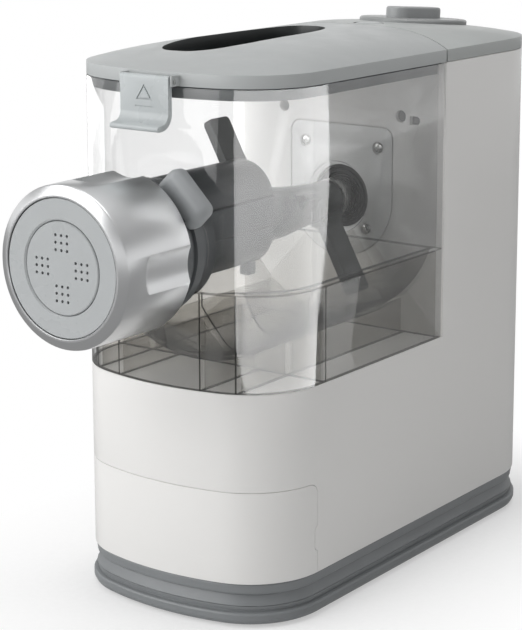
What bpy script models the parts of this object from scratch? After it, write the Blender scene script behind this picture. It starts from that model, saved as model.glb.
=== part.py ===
"""Electric pasta maker with a clear mixing chamber.

Metres, +Z up. The front faces -Y and the origin is under the middle of the footprint.
"""
import math

import bmesh
import bpy
from mathutils import Matrix, Vector

# Driving dimensions of the whole machine
length = 0.351
width = 0.135
ring_reach = 0.0685
shelf_height = 0.121
chamber_height = 0.2655
lid_height = 0.272
crease_height = 0.2785
crown_rise = 0.009
crown_shares = (1.0, 0.9, 0.7, 0.4)
axis_height = 0.1925
gap = 0.0003
overrun = 0.004
merge_distance = 0.00001

# Plan outline
front_arc_radius = 0.147
front_corner_radius = 0.041
rear_arc_radius = 0.319
rear_corner_radius = 0.045
base_step = 0.001
body_rear = length / 2 - base_step
body_front = ring_reach - length / 2
arc_steps = 4

# Base
foot_height = 0.0015
foot_radius = 0.008
foot_depth = 0.001
foot_inset_side = 0.024
foot_inset_front = 0.040
foot_inset_rear = 0.032
lower_tier_top = 0.011
plinth_top = 0.0227
plinth_inset = 0.0012
plinth_wall = 0.0025

# Housing
wall = 0.0025
back_wall = 0.003
column_depth = 0.1168
wall_face = body_rear - column_depth
vent_count = 7
vent_width = 0.0028
vent_height = 0.030
vent_pitch = 0.0075
vent_low = 0.150

# Drawer
drawer_top = 0.0708
drawer_wrap = 0.045
drawer_split = body_front + drawer_wrap
drawer_wall = 0.0022
tray_top = 0.062
tray_reach = 0.066
tray_rear = drawer_split + tray_reach
notch_low = 0.0345
notch_high = 0.048
notch_depth = 0.0022
bay_wall = 0.002
bay_margin = 0.0025

# Round cover plate on the chamber's back wall
plate_half_width = 0.0335
plate_top = 0.2330
plate_corner = 0.006
plate_thickness = 0.0012
drive_hole_radius = 0.0178
screw_head_radius = 0.003
screw_head_height = 0.0012
screw_shank_radius = 0.0015
screw_length = 0.0055
upper_screw_x = 0.0242
upper_screw_z = 0.2216
lower_screw_x = 0.0167
lower_screw_z = 0.1755
locator_radius = 0.0034
locator_x = 0.0389
locator_z = 0.2404

# Mixing chamber
chamber_wall = 0.0022
chamber_gap = 0.0022
trough_radius = width / 2 - chamber_wall
trough_round = 0.0318
trough_round_depth = 0.0445
trough_round_y = body_front + trough_round_depth
ledge_height = 0.1715
shaft_opening_radius = 0.020
web_half = 0.0011
front_web_x = 0.026
side_web_x = 0.0443
bulkhead_depth = 0.0515
bulkhead_y = body_front + bulkhead_depth

# Extrusion tube
tube_bore = 0.0175
tube_nose_radius = 0.0310
tube_flange_radius = 0.0340
tube_neck_radius = 0.0300
tube_flange_depth = 0.0150
tube_neck_depth = 0.0135
tube_seat = 0.0025
tube_share = 0.4493
tube_flange_rear = body_front - tube_seat
tube_flange_front = tube_flange_rear - tube_flange_depth
tube_neck_rear = tube_flange_rear + tube_neck_depth
tube_rear = body_front + tube_share * (wall_face - body_front)
tube_half_width = 0.0195
tube_top = 0.2255
tube_bottom = 0.1705
pad_angle = math.radians(45)
pad_reach = 0.0465
pad_half_length = 0.0145
pad_depth = 0.0120
pad_bevel = 0.0020

# Ring and shaping disc
ring_front = -length / 2
ring_depth = 0.0490
ring_rear = ring_front + ring_depth
ring_radius = 0.0396
ring_rear_radius = 0.0399
ring_lip = 0.0337
ring_chamfer = 0.0030
ring_lip_depth = 0.0040
ring_inner = 0.0352
grip_count = 4
grip_angle = math.radians(-2)
grip_radius = 0.0085
grip_cut = 0.0024
grip_start = 0.0145
grip_front = ring_front + grip_start
disc_recess = 0.0006
disc_flange = 0.0030
insert_radius = 0.0228
insert_thickness = 0.0030
insert_seat = 0.0195
die_hole_radius = 0.00075
die_hole_pitch = 0.00355
die_group_radius = 0.0122
die_rows = 3
die_groups = 4
tube_nose_front = ring_front + ring_lip_depth + disc_flange + 2 * gap

# Auger and paddle
auger_core = 0.0085
auger_radius = 0.0168
auger_front = tube_nose_front + overrun
auger_rear = tube_rear - 2 * gap
auger_pitch = 0.022
auger_flight = 0.0030
hub_radius = 0.0120
hub_front = auger_rear + gap
hub_space = 0.0127
hub_rear = wall_face - hub_space
blade_reach = 0.0570
blade_thickness = 0.0050
blade_width = 0.0170
blade_first_angle = math.radians(118.5)
blade_count = 3
blade_inset = 0.0033
blade_first_y = hub_front + blade_inset + blade_width / 2
blade_pitch = (hub_rear - blade_width / 2 - blade_first_y) / (blade_count - 1)
socket_radius = 0.0060
socket_depth = 0.0120

# Drive
shaft_radius = 0.0040
shaft_flat_radius = 0.0057
coupling_radius = 0.0110
seal_depth = 0.0050
frame_gap = 0.0030
frame_plate = 0.0025
frame_half_width = 0.0300
frame_spacing = 0.0235
frame_post_radius = 0.0030
frame_post_inset = 0.0060
shaft_overhang = 0.0020
stage_space = 0.0040
output_teeth = 36
idler_teeth = 36
pinion_teeth = 9
gear_centre = 0.0302
gear_width = 0.0050
gear_clearance = 0.0002
gear_module = 2 * (gear_centre - gear_clearance) / (output_teeth + pinion_teeth)
bearing_radius = 0.0080
bearing_bore_gap = 0.0003
motor_radius = 0.0290
motor_length = 0.0500
motor_shaft_radius = 0.0025
motor_nose_radius = 0.0100
motor_nose = 0.0040
fan_radius = 0.0240
fan_hub_radius = 0.0060
fan_width = 0.0070
fan_blades = 7
fan_blade_thickness = 0.0012

# Lid, collar and latch
lid_wall = 0.0022
seam_half_gap = 0.00025
seam_sagitta = 0.0150
seam_edge_y = wall_face
slot_x = -0.0125
slot_front_space = 0.0465
slot_rear_space = 0.0082
slot_front = body_front + slot_front_space
slot_rear = wall_face - slot_rear_space
slot_y = (slot_front + slot_rear) / 2
slot_half_width = 0.0192
slot_half_length = (slot_rear - slot_front) / 2
slot_power = 2.5
slot_wall = 0.0018
grid_thickness = 0.0030
grid_slits = 6
grid_slit_width = 0.0030
grid_pitch_share = 0.218
grid_reach_share = 0.75
collar_inset = 0.0010
collar_wall = 0.0030
latch_width = 0.0300
latch_face = 0.0062
latch_thickness = 0.0026
latch_drop = 0.0009
latch_straight = 0.0184
latch_curl = 0.0057
latch_top = crease_height - latch_drop
latch_bend = latch_top - latch_straight
latch_bottom = latch_bend - latch_curl
latch_lip = 0.0080
latch_knuckle = 0.0022
latch_pin_radius = 0.0009
latch_ear = 0.0012

# Rear cover controls
knob_inset = 0.0425
knob_y = body_rear - knob_inset
knob_radius = 0.0310
knob_tilt = math.radians(4)
knob_top = 0.2866
knob_thickness = 0.0030
knob_bevel = 0.0010
grip_height = 0.0062
grip_half_width = 0.0082
grip_half_length = 0.0175
grip_turn = math.radians(-22)
knob_shaft_radius = 0.0030
button_inset = 0.0273
button_y = wall_face + button_inset
button_radius = 0.0083
button_top = 0.2874
button_height = 0.0060
button_stem_radius = 0.0020
button_travel = 0.0015
board_thickness = 0.0016
board_half_width = 0.0400
board_front_space = 0.0183
board_rear_space = 0.0145
board_front = wall_face + board_front_space
board_rear = body_rear - board_rear_space
post_radius = 0.0035
post_x = 0.0330
post_inset = 0.0060
board_screw_radius = 0.0012
board_screw_head = 0.0025
board_screw_head_height = 0.0012
board_screw_length = 0.0060
board_screw_play = 0.0020
switch_half = 0.0080
switch_height = 0.0060
push_switch_half = 0.0030
push_switch_height = 0.0045
inlet_radius = 0.0065
inlet_flange_radius = 0.0090
inlet_flange = 0.0020
inlet_bore = 0.0036
inlet_z = 0.0450
lid_switch_half = 0.0060
lid_switch_depth = 0.0080
power_board_half_width = 0.0450
power_board_front_space = 0.0115
power_board_rear_space = 0.0445
power_board_front = tray_rear + bay_margin + bay_wall + power_board_front_space
power_board_rear = body_rear - power_board_rear_space
power_board_leg = 0.0060
power_board_leg_radius = 0.0030

# Colours
white = (0.86, 0.86, 0.84)
light_grey = (0.50, 0.52, 0.52)
mid_grey = (0.32, 0.34, 0.35)
dark_grey = (0.09, 0.10, 0.10)
clear = (0.90, 0.91, 0.91)
steel = (0.62, 0.62, 0.61)
brass = (0.70, 0.55, 0.28)
board_green = (0.06, 0.22, 0.12)

for old in list(bpy.data.objects):
    bpy.data.objects.remove(old, do_unlink=True)
parts = bpy.data.collections.new("pasta_maker")
cutters = bpy.data.collections.new("cutters")
for group in (parts, cutters):
    bpy.context.scene.collection.children.link(group)


def material(name, colour, roughness, metallic=0.0, alpha=1.0):
    """Make one Principled material, or return it if it exists."""
    found = bpy.data.materials.get(name)
    if found:
        return found
    made = bpy.data.materials.new(name)
    made.use_nodes = True
    shader = made.node_tree.nodes["Principled BSDF"]
    shader.inputs["Base Color"].default_value = (*colour, 1.0)
    shader.inputs["Roughness"].default_value = roughness
    shader.inputs["Metallic"].default_value = metallic
    shader.inputs["Alpha"].default_value = alpha
    made.diffuse_color = (*colour, alpha)
    return made


def white_plastic():
    return material("white_plastic", white, 0.35)


def light_plastic():
    return material("light_grey_plastic", light_grey, 0.4)


def mid_plastic():
    return material("mid_grey_plastic", mid_grey, 0.45)


def dark_plastic():
    return material("dark_grey_plastic", dark_grey, 0.5)


def clear_plastic():
    return material("clear_plastic", clear, 0.05, 0.0, 0.3)


def metal():
    return material("brushed_steel", steel, 0.3, 1.0)


def add(name, mesh, paint):
    """Put a mesh in the parts collection, or in the cutters without a material."""
    item = bpy.data.objects.new(name, mesh)
    if paint:
        mesh.materials.append(paint)
        parts.objects.link(item)
    else:
        cutters.objects.link(item)
        item.hide_render = True
        item.display_type = "WIRE"
    return item


def cut(item, cutter, operation="DIFFERENCE"):
    """Add a Boolean with one cutter."""
    boolean = item.modifiers.new(cutter.name, "BOOLEAN")
    boolean.operation = operation
    boolean.solver = "EXACT"
    boolean.object = cutter
    return item


def plate(name, outline, low, high, paint=None, facing="Z"):
    """Extrude a flat outline along an axis from low to high.

    Facing Z takes (x, y) points, facing Y takes (x, z) and facing X takes (y, z).
    """
    curve = bpy.data.curves.new(f"{name}_outline", "CURVE")
    curve.dimensions = "2D"
    curve.fill_mode = "BOTH"
    curve.extrude = (high - low) / 2
    spline = curve.splines.new("POLY")
    spline.points.add(len(outline) - 1)
    for point, (u, v) in zip(spline.points, outline):
        point.co = (u, v, 0.0, 1.0)
    spline.use_cyclic_u = True
    drawn = bpy.data.objects.new(f"{name}_outline", curve)
    bpy.context.scene.collection.objects.link(drawn)
    turn = {
        "Z": Matrix.Identity(4),
        "Y": Matrix.Rotation(math.pi / 2, 4, "X"),
        "X": Matrix(((0, 0, 1, 0), (1, 0, 0, 0), (0, 1, 0, 0), (0, 0, 0, 1))),
    }[facing]
    middle = Vector([(high + low) / 2 if axis == facing else 0.0 for axis in "XYZ"])
    drawn.matrix_world = Matrix.Translation(middle) @ turn
    bpy.context.view_layer.update()
    graph = bpy.context.evaluated_depsgraph_get()
    mesh = bpy.data.meshes.new_from_object(drawn.evaluated_get(graph))
    mesh.name = name
    shape = bmesh.new()
    shape.from_mesh(mesh)
    bmesh.ops.remove_doubles(shape, verts=shape.verts, dist=merge_distance)
    bmesh.ops.dissolve_limit(shape, angle_limit=1e-4, verts=shape.verts, edges=shape.edges)
    bmesh.ops.recalc_face_normals(shape, faces=shape.faces)
    shape.to_mesh(mesh)
    shape.free()
    mesh.materials.clear()
    item = add(name, mesh, paint)
    item.matrix_world = drawn.matrix_world
    bpy.data.objects.remove(drawn, do_unlink=True)
    apply_placement(item)
    return item


def apply_placement(item):
    """Move an object's placement into its mesh."""
    item.data.transform(item.matrix_world)
    item.matrix_world = Matrix.Identity(4)


def box(name, low, high, paint=None):
    """A cuboid between two corners."""
    shape = bmesh.new()
    size = Vector(high) - Vector(low)
    middle = (Vector(high) + Vector(low)) / 2
    placing = Matrix.Translation(middle) @ Matrix.Diagonal((*size, 1.0))
    bmesh.ops.create_cube(shape, size=1.0, matrix=placing)
    mesh = bpy.data.meshes.new(name)
    shape.to_mesh(mesh)
    shape.free()
    return add(name, mesh, paint)


def boxes(name, corners):
    """One cutter made of several separate cuboids."""
    shape = bmesh.new()
    for low, high in corners:
        size = Vector(high) - Vector(low)
        middle = (Vector(high) + Vector(low)) / 2
        placing = Matrix.Translation(middle) @ Matrix.Diagonal((*size, 1.0))
        bmesh.ops.create_cube(shape, size=1.0, matrix=placing)
    mesh = bpy.data.meshes.new(name)
    shape.to_mesh(mesh)
    shape.free()
    return add(name, mesh, None)


def rods(name, radius, places, low, high, paint=None, facing="Y", sides=16):
    """Parallel cylinders along one axis. Places are the other two coordinates."""
    shape = bmesh.new()
    turn = {
        "X": Matrix.Rotation(math.pi / 2, 4, "Y"),
        "Y": Matrix.Rotation(-math.pi / 2, 4, "X"),
        "Z": Matrix.Identity(4),
    }[facing]
    middle = (low + high) / 2
    for u, v in places:
        spot = {"X": (middle, u, v), "Y": (u, middle, v), "Z": (u, v, middle)}[facing]
        bmesh.ops.create_cone(
            shape, cap_ends=True, segments=sides, radius1=radius, radius2=radius,
            depth=high - low, matrix=Matrix.Translation(spot) @ turn)
    mesh = bpy.data.meshes.new(name)
    shape.to_mesh(mesh)
    shape.free()
    item = add(name, mesh, paint)
    shade_round(item)
    return item


def shade_round(item):
    item.data.shade_smooth()
    item.data.set_sharp_from_angle(angle=math.radians(35))


def turned(name, profile, spot, paint=None, facing="-Y", steps=32, closed=False):
    """A turned piece. The profile's (radius, height) points run down the outer side.

    Height is measured along the facing axis from the spot.
    """
    mesh = bpy.data.meshes.new(name)
    edges = [(index, index + 1) for index in range(len(profile) - 1)]
    if closed:
        edges.append((len(profile) - 1, 0))
    mesh.from_pydata([(radius, 0.0, height) for radius, height in profile], edges, [])
    item = add(name, mesh, paint)
    turn = {"-Y": Matrix.Rotation(math.pi / 2, 4, "X"), "Z": Matrix.Identity(4)}[facing]
    item.matrix_world = Matrix.Translation(spot) @ turn
    screw = item.modifiers.new("turn", "SCREW")
    screw.angle = 2 * math.pi
    screw.steps = steps
    screw.render_steps = steps
    screw.use_merge_vertices = True
    screw.merge_threshold = merge_distance
    screw.use_smooth_shade = True
    return item


def turned_along_y(name, sections, paint=None, steps=32, bore=0.0, x=0.0, z=axis_height):
    """A turned piece on an axis along Y, from (radius, front, rear) sections, front first."""
    outer = []
    for radius, front, rear in sections:
        outer += [(radius, -front), (radius, -rear)]
    front = -sections[0][1]
    rear = -sections[-1][2]
    if bore:
        profile = outer + [(bore, rear), (bore, front)]
        return turned(name, profile, (x, 0.0, z), paint, "-Y", steps, closed=True)
    profile = [(0.0, front)] + outer + [(0.0, rear)]
    return turned(name, profile, (x, 0.0, z), paint, "-Y", steps)


def joint_axis(name, spot, items):
    """An empty on a joint's axis that carries the pieces which move with it."""
    axis = bpy.data.objects.new(name, None)
    parts.objects.link(axis)
    axis.location = spot
    bpy.context.view_layer.update()
    for item in items:
        place = item.matrix_world.copy()
        item.parent = axis
        item.matrix_parent_inverse = Matrix.Translation(spot).inverted()
        item.matrix_world = place
    return axis


def half_end(half, arc, corner):
    """Points of half a bowed end, from its middle to its side: (x, depth)."""
    inner = half - corner
    rise = math.sqrt(max((arc - corner) ** 2 - inner ** 2, 0.0))
    turn = math.atan2(inner, rise)
    points = []
    for step in range(arc_steps + 1):
        angle = turn * step / arc_steps
        points.append((arc * math.sin(angle), arc - arc * math.cos(angle)))
    for step in range(1, arc_steps + 1):
        angle = turn + (math.pi / 2 - turn) * step / arc_steps
        points.append((inner + corner * math.sin(angle), arc - rise - corner * math.cos(angle)))
    return points


def plan(offset=0.0):
    """The machine's outline from above, grown or shrunk by an offset."""
    half = width / 2 + offset
    front = half_end(half, front_arc_radius + offset, front_corner_radius + offset)
    rear = half_end(half, rear_arc_radius + offset, rear_corner_radius + offset)
    right = [(x, body_front - offset + depth) for x, depth in front]
    right += [(x, body_rear + offset - depth) for x, depth in reversed(rear)]
    left = [(-x, y) for x, y in reversed(right[1:-1])]
    return right + left


def clip(outline, limit, keep):
    """Cut an outline at y = limit and keep its front or its rear."""
    sign = 1 if keep == "rear" else -1
    kept = []
    for index, (x, y) in enumerate(outline):
        next_x, next_y = outline[(index + 1) % len(outline)]
        here = (y - limit) * sign
        there = (next_y - limit) * sign
        if here >= 0:
            kept.append((x, y))
        if here * there < 0:
            share = here / (here - there)
            kept.append((x + (next_x - x) * share, limit))
    return kept


def circle(radius, centre, steps, start=0.0, end=2 * math.pi, ends=False):
    """Points of an arc, with its last point only when ends is true."""
    count = steps + 1 if ends else steps
    return [(centre[0] + radius * math.cos(start + (end - start) * step / steps),
             centre[1] + radius * math.sin(start + (end - start) * step / steps))
            for step in range(count)]


def make_housing():
    """White body with a low front, a tall rear column and a drawer opening."""
    low = plinth_top + gap
    body = plate("main_housing", plan(), low, lid_height - gap, white_plastic())
    far = length
    shelf = shelf_height
    cut(body, box("front_space", (-far, -far, shelf), (far, wall_face, lid_height + overrun)))
    inner = plan(-wall)
    cut(body, plate("lower_space", inner, low - overrun, shelf - wall))
    column = clip(inner, wall_face + back_wall, "rear")
    cut(body, plate("rear_space", column, shelf - wall - overrun, lid_height + overrun))
    cut(body, box("drawer_opening", (-far, -far, low - overrun), (far, drawer_split, drawer_top)))
    middle = (vent_count - 1) / 2
    slots = []
    for index in range(vent_count):
        x = (index - middle) * vent_pitch
        slots.append(((x - vent_width / 2, body_rear - wall - overrun, vent_low),
                      (x + vent_width / 2, body_rear + overrun, vent_low + vent_height)))
    cut(body, boxes("vents", slots))
    recess = cover_plate_outline(gap)
    depth = wall_face + plate_thickness + gap
    cut(body, plate("plate_recess", recess, wall_face - overrun, depth, facing="Y"))
    through = (wall_face - overrun, wall_face + back_wall + overrun)
    cut(body, rods("drive_hole", drive_hole_radius, [(0.0, axis_height)], *through, sides=32))
    cut(body, rods("shank_holes", screw_shank_radius + gap, screw_places(), *through, sides=12))
    locators = [(locator_x, locator_z), (-locator_x, locator_z)]
    cut(body, rods("locator_holes", locator_radius, locators, *through))
    cut(body, rods("inlet_hole", inlet_radius + gap, [(0.0, inlet_z)],
                   body_rear - wall - overrun, body_rear + overrun))
    return body


def make_base():
    """Grey plinth, its lower tier and four rubber feet."""
    outline = plan(-plinth_inset)
    plinth = plate("base_plinth", outline, lower_tier_top + gap, plinth_top, mid_plastic())
    inner = plan(-plinth_inset - plinth_wall)
    cut(plinth, plate("plinth_space", inner, lower_tier_top - overrun, plinth_top - plinth_wall))
    lower = plate("base_plate", plan(base_step), foot_height, lower_tier_top, mid_plastic())
    side = width / 2 - foot_inset_side
    places = [(x, y) for x in (-side, side)
              for y in (body_front + foot_inset_front, body_rear - foot_inset_rear)]
    pocket = foot_height + foot_depth
    cut(lower, rods("foot_pockets", foot_radius + gap, places,
                    foot_height - overrun, pocket + gap, facing="Z"))
    for index, place in enumerate(places):
        rods(f"foot_{index + 1}", foot_radius, [place], 0.0, pocket,
             material("rubber", dark_grey, 0.8), facing="Z")


def make_drawer():
    """Wrap-round drawer front, its tray and the bay that it slides in."""
    low = plinth_top + gap
    outline = clip(plan(), drawer_split - gap, "front")
    front = plate("drawer_front", outline, low, drawer_top - gap, white_plastic())
    cut(front, plate("drawer_front_space", plan(-drawer_wall), low - overrun, drawer_top + overrun))
    reach = width / 2
    cut(front, boxes("drawer_notches", [
        ((side * reach - notch_depth, drawer_split - notch_depth, notch_low),
         (side * reach + notch_depth, drawer_split + notch_depth, notch_high))
        for side in (-1, 1)]))
    outer = clip(plan(-wall - gap), tray_rear, "front")
    tray = plate("drawer_tray", outer, low, tray_top, light_plastic())
    inner = clip(plan(-wall - gap - drawer_wall), tray_rear - drawer_wall, "front")
    cut(tray, plate("tray_space", inner, low + drawer_wall, tray_top + overrun))
    top = drawer_top + bay_margin
    rear = tray_rear + bay_margin
    section = [(drawer_split + gap, top), (rear, top), (rear, low),
               (rear + bay_wall, low), (rear + bay_wall, top + bay_wall),
               (drawer_split + gap, top + bay_wall)]
    half = width / 2 - wall - gap
    plate("drawer_bay", section, -half, half, mid_plastic(), facing="X")
    joint_axis("drawer_slide_axis", (0.0, drawer_split, low), [front, tray])


def cover_plate_outline(grow):
    """Square top with rounded corners and a round bottom about the drive axis."""
    half = plate_half_width + grow
    corner = plate_corner + grow
    top = plate_top + grow
    points = circle(half, (0.0, axis_height), 16, math.pi, 2 * math.pi, ends=True)
    points += circle(corner, (half - corner, top - corner), 3, 0.0, math.pi / 2, ends=True)
    points += circle(corner, (corner - half, top - corner), 3, math.pi / 2, math.pi, ends=True)
    return points


def screw_places():
    return [(-upper_screw_x, upper_screw_z), (upper_screw_x, upper_screw_z),
            (-lower_screw_x, lower_screw_z), (lower_screw_x, lower_screw_z)]


def make_drive_cover():
    """Screwed plate round the drive opening, its four screws and the shaft seal."""
    rear = wall_face + plate_thickness
    cover = plate("drive_cover_plate", cover_plate_outline(0.0), wall_face, rear,
                  white_plastic(), facing="Y")
    span = (wall_face - overrun, rear + overrun)
    cut(cover, rods("cover_hole", drive_hole_radius, [(0.0, axis_height)], *span, sides=32))
    cut(cover, rods("cover_screw_holes", screw_shank_radius + gap, screw_places(), *span, sides=12))
    for index, (x, z) in enumerate(screw_places()):
        seat = wall_face - gap
        sections = [(screw_head_radius, seat - screw_head_height, seat),
                    (screw_shank_radius, seat, seat + screw_length)]
        turned_along_y(f"plate_screw_{index + 1}", sections, metal(), steps=12, x=x, z=z)
    front = wall_face + plate_thickness / 2
    outer = drive_hole_radius - gap
    turned_along_y("shaft_seal", [(outer, front, front + seal_depth)],
                   material("seal_rubber", dark_grey, 0.7), steps=32, bore=coupling_radius + gap)


def chamber_rear():
    return wall_face - chamber_gap


def trough(name, skin):
    """The trough's turned inside, grown by a skin: a cone at the front, a rounding, a cylinder."""
    turn = math.pi / 4
    rounding = trough_round + skin
    centre = trough_radius - trough_round
    foot_radius = centre + rounding * math.cos(turn)
    foot_y = trough_round_y - rounding * math.sin(turn)
    start = body_front - overrun
    profile = [(0.0, -start), (foot_radius - (foot_y - start), -start)]
    for step in range(arc_steps + 1):
        angle = turn * (1 - step / arc_steps)
        profile.append((centre + rounding * math.cos(angle),
                        rounding * math.sin(angle) - trough_round_y))
    profile += [(trough_radius + skin, -length), (0.0, -length)]
    return turned(name, profile, (0.0, 0.0, axis_height), steps=48)


def make_chamber():
    """Clear chamber: outer skin, rear wall, round trough, and webs and a bulkhead under it."""
    low = shelf_height + gap
    outline = clip(plan(), chamber_rear(), "front")
    chamber = plate("mixing_chamber", outline, low, chamber_height, clear_plastic())
    inner = clip(plan(-chamber_wall), chamber_rear() - chamber_wall, "front")
    far = length
    upper = plate("trough_space", inner, low - overrun, chamber_height + overrun)
    hollow = trough("trough_inside", 0.0)
    cut(hollow, box("above_ledge", (-far, -far, ledge_height), (far, far, 2 * axis_height)), "UNION")
    cut(upper, hollow, "INTERSECT")
    cut(chamber, upper)
    under = plate("under_space", inner, low - overrun, ledge_height - chamber_wall)
    cut(under, trough("trough_outside", chamber_wall))
    webs = []
    for x, rear in ((side_web_x, far), (front_web_x, bulkhead_y)):
        for middle in (-x, x):
            webs.append(((middle - web_half, -far, 0.0), (middle + web_half, rear, axis_height)))
    cut(under, boxes("trough_webs", webs))
    cut(under, box("bulkhead", (-far, bulkhead_y - web_half, 0.0),
                   (far, bulkhead_y + web_half, axis_height)))
    cut(chamber, under)
    hole = tube_neck_radius + gap
    cut(chamber, rods("tube_opening", hole, [(0.0, axis_height)], -length, tube_rear, sides=32))
    cut(chamber, rods("shaft_opening", shaft_opening_radius, [(0.0, axis_height)],
                      chamber_rear() - chamber_wall - overrun, wall_face, sides=32))
    return chamber


def make_extrusion_tube():
    """Dark tube that carries the auger, with its flange and two grip pads."""
    sections = [(tube_nose_radius, tube_nose_front, tube_flange_front),
                (tube_flange_radius, tube_flange_front, tube_flange_rear),
                (tube_neck_radius, tube_flange_rear, tube_neck_rear)]
    tube = turned_along_y("extrusion_tube", sections, mid_plastic(), steps=32)
    tall = (tube_top - tube_bottom) / 2
    middle = (tube_top + tube_bottom) / 2
    straight = tall - tube_half_width
    outline = circle(tube_half_width, (0.0, middle + straight), 12, 0.0, math.pi, ends=True)
    outline += circle(tube_half_width, (0.0, middle - straight), 12, math.pi, 2 * math.pi, ends=True)
    front = tube_neck_rear - (tube_neck_rear - tube_flange_rear) / 2
    cut(tube, plate("tube_body", outline, front, tube_rear, facing="Y"), "UNION")
    for turn in (pad_angle, pad_angle + math.pi):
        pad = box("tube_pad", (tube_bore + overrun, tube_flange_rear - pad_depth, -pad_half_length),
                  (pad_reach, tube_flange_rear, pad_half_length))
        pad.data.transform(Matrix.Translation((0.0, 0.0, axis_height)) @ Matrix.Rotation(-turn, 4, "Y"))
        round_edges(pad, pad_bevel)
        cut(tube, pad, "UNION")
    cut(tube, rods("tube_bore_space", tube_bore, [(0.0, axis_height)], -length, 0.0, sides=32))
    return tube


def round_edges(item, size):
    """Bevel an object's sharp edges."""
    bevel = item.modifiers.new("round", "BEVEL")
    bevel.width = size
    bevel.segments = 1
    bevel.limit_method = "ANGLE"


def make_ring():
    """Metal fixing ring with four grip recesses, the shaping disc and its die insert."""
    lip_rear = ring_front + ring_lip_depth
    profile = [(ring_lip, -ring_front), (ring_radius - ring_chamfer, -ring_front),
               (ring_radius, -ring_front - ring_chamfer), (ring_rear_radius, -ring_rear),
               (ring_inner, -ring_rear), (ring_inner, -lip_rear), (ring_lip, -lip_rear)]
    ring = turned("fixing_ring", profile, (0.0, 0.0, axis_height), metal(), steps=48, closed=True)
    reach = ring_rear_radius - grip_cut + grip_radius
    places = []
    for index in range(grip_count):
        angle = grip_angle + 2 * math.pi * index / grip_count
        places.append((reach * math.cos(angle), axis_height + reach * math.sin(angle)))
    cut(ring, rods("grip_recesses", grip_radius, places, grip_front, ring_rear + overrun))
    front = ring_front + disc_recess
    step = lip_rear + gap
    rear = step + disc_flange
    seat = front + insert_thickness
    outer = ring_lip - gap
    flange = ring_inner - gap
    profile = [(insert_radius, -front), (outer, -front), (outer, -step), (flange, -step),
               (flange, -rear), (insert_seat, -rear), (insert_seat, -seat), (insert_radius, -seat)]
    disc = turned("shaping_disc", profile, (0.0, 0.0, axis_height), light_plastic(), closed=True)
    sections = [(insert_radius - gap, front, seat - gap)]
    insert = turned_along_y("die_insert", sections, light_plastic())
    holes = []
    middle = (die_rows - 1) / 2
    for group in range(die_groups):
        angle = math.pi / 2 * group
        centre_x = die_group_radius * math.cos(angle)
        centre_z = axis_height + die_group_radius * math.sin(angle)
        for row in range(die_rows):
            for column in range(die_rows):
                holes.append((centre_x + (column - middle) * die_hole_pitch,
                              centre_z + (row - middle) * die_hole_pitch))
    cut(insert, rods("die_holes", die_hole_radius, holes, front - overrun, seat + overrun, sides=6))
    ring_axis = joint_axis("ring_twist_axis", (0.0, ring_front, axis_height), [ring])
    joint_axis("disc_pull_axis", (0.0, front, axis_height), [disc, insert, ring_axis])


def flight_mesh(name, core, radius, thickness, front, rear, pitch, steps_per_turn=9):
    """A helical flight round the drive axis: a square-section strip with closed ends."""
    turns = (rear - front - thickness) / pitch
    steps = int(turns * steps_per_turn)
    shape = bmesh.new()
    rings = []
    for step in range(steps + 1):
        angle = 2 * math.pi * turns * step / steps
        y = front + (rear - front - thickness) * step / steps
        ring = []
        for reach, shift in ((core, 0.0), (radius, 0.0), (radius, thickness), (core, thickness)):
            x = reach * math.cos(angle)
            z = axis_height + reach * math.sin(angle)
            ring.append(shape.verts.new((x, y + shift, z)))
        rings.append(ring)
    for first, second in zip(rings, rings[1:]):
        for side in range(4):
            after = (side + 1) % 4
            shape.faces.new((first[side], first[after], second[after], second[side]))
    shape.faces.new(rings[0][::-1])
    shape.faces.new(rings[-1])
    bmesh.ops.recalc_face_normals(shape, faces=shape.faces)
    mesh = bpy.data.meshes.new(name)
    shape.to_mesh(mesh)
    shape.free()
    return add(name, mesh, None)


def make_output_line():
    """Auger, paddle, output shaft and its coupling, all on the drive axis."""
    auger = turned_along_y("auger", [(auger_core, auger_front, auger_rear)], dark_plastic(), steps=12)
    flight = flight_mesh("auger_flight", auger_core - overrun / 2, auger_radius, auger_flight,
                         auger_front, auger_rear, auger_pitch)
    cut(auger, flight, "UNION")
    sections = [(hub_radius, hub_front, hub_rear)]
    paddle = turned_along_y("mixing_paddle", sections, dark_plastic(), steps=20)
    for index in range(blade_count):
        angle = blade_first_angle - math.pi / 2 * index
        y = blade_first_y + blade_pitch * index
        blade = box(f"paddle_blade_{index + 1}", (0.0, y - blade_width / 2, -blade_thickness / 2),
                    (blade_reach, y + blade_width / 2, blade_thickness / 2))
        turn = Matrix.Rotation(-angle, 4, "Y")
        blade.data.transform(Matrix.Translation((0.0, 0.0, axis_height)) @ turn)
        cut(paddle, blade, "UNION")
    socket = socket_radius + gap
    cut(paddle, rods("paddle_socket", socket, [(0.0, axis_height)],
                     hub_rear - socket_depth, hub_rear + overrun, sides=6))
    return [auger, paddle]


def tooth_shares(root, tip):
    """Shares of one tooth pitch and the radius at each: foot, flank, crest, flank."""
    return ((0.3, root), (0.42, tip), (0.68, tip), (0.8, root))


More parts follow.
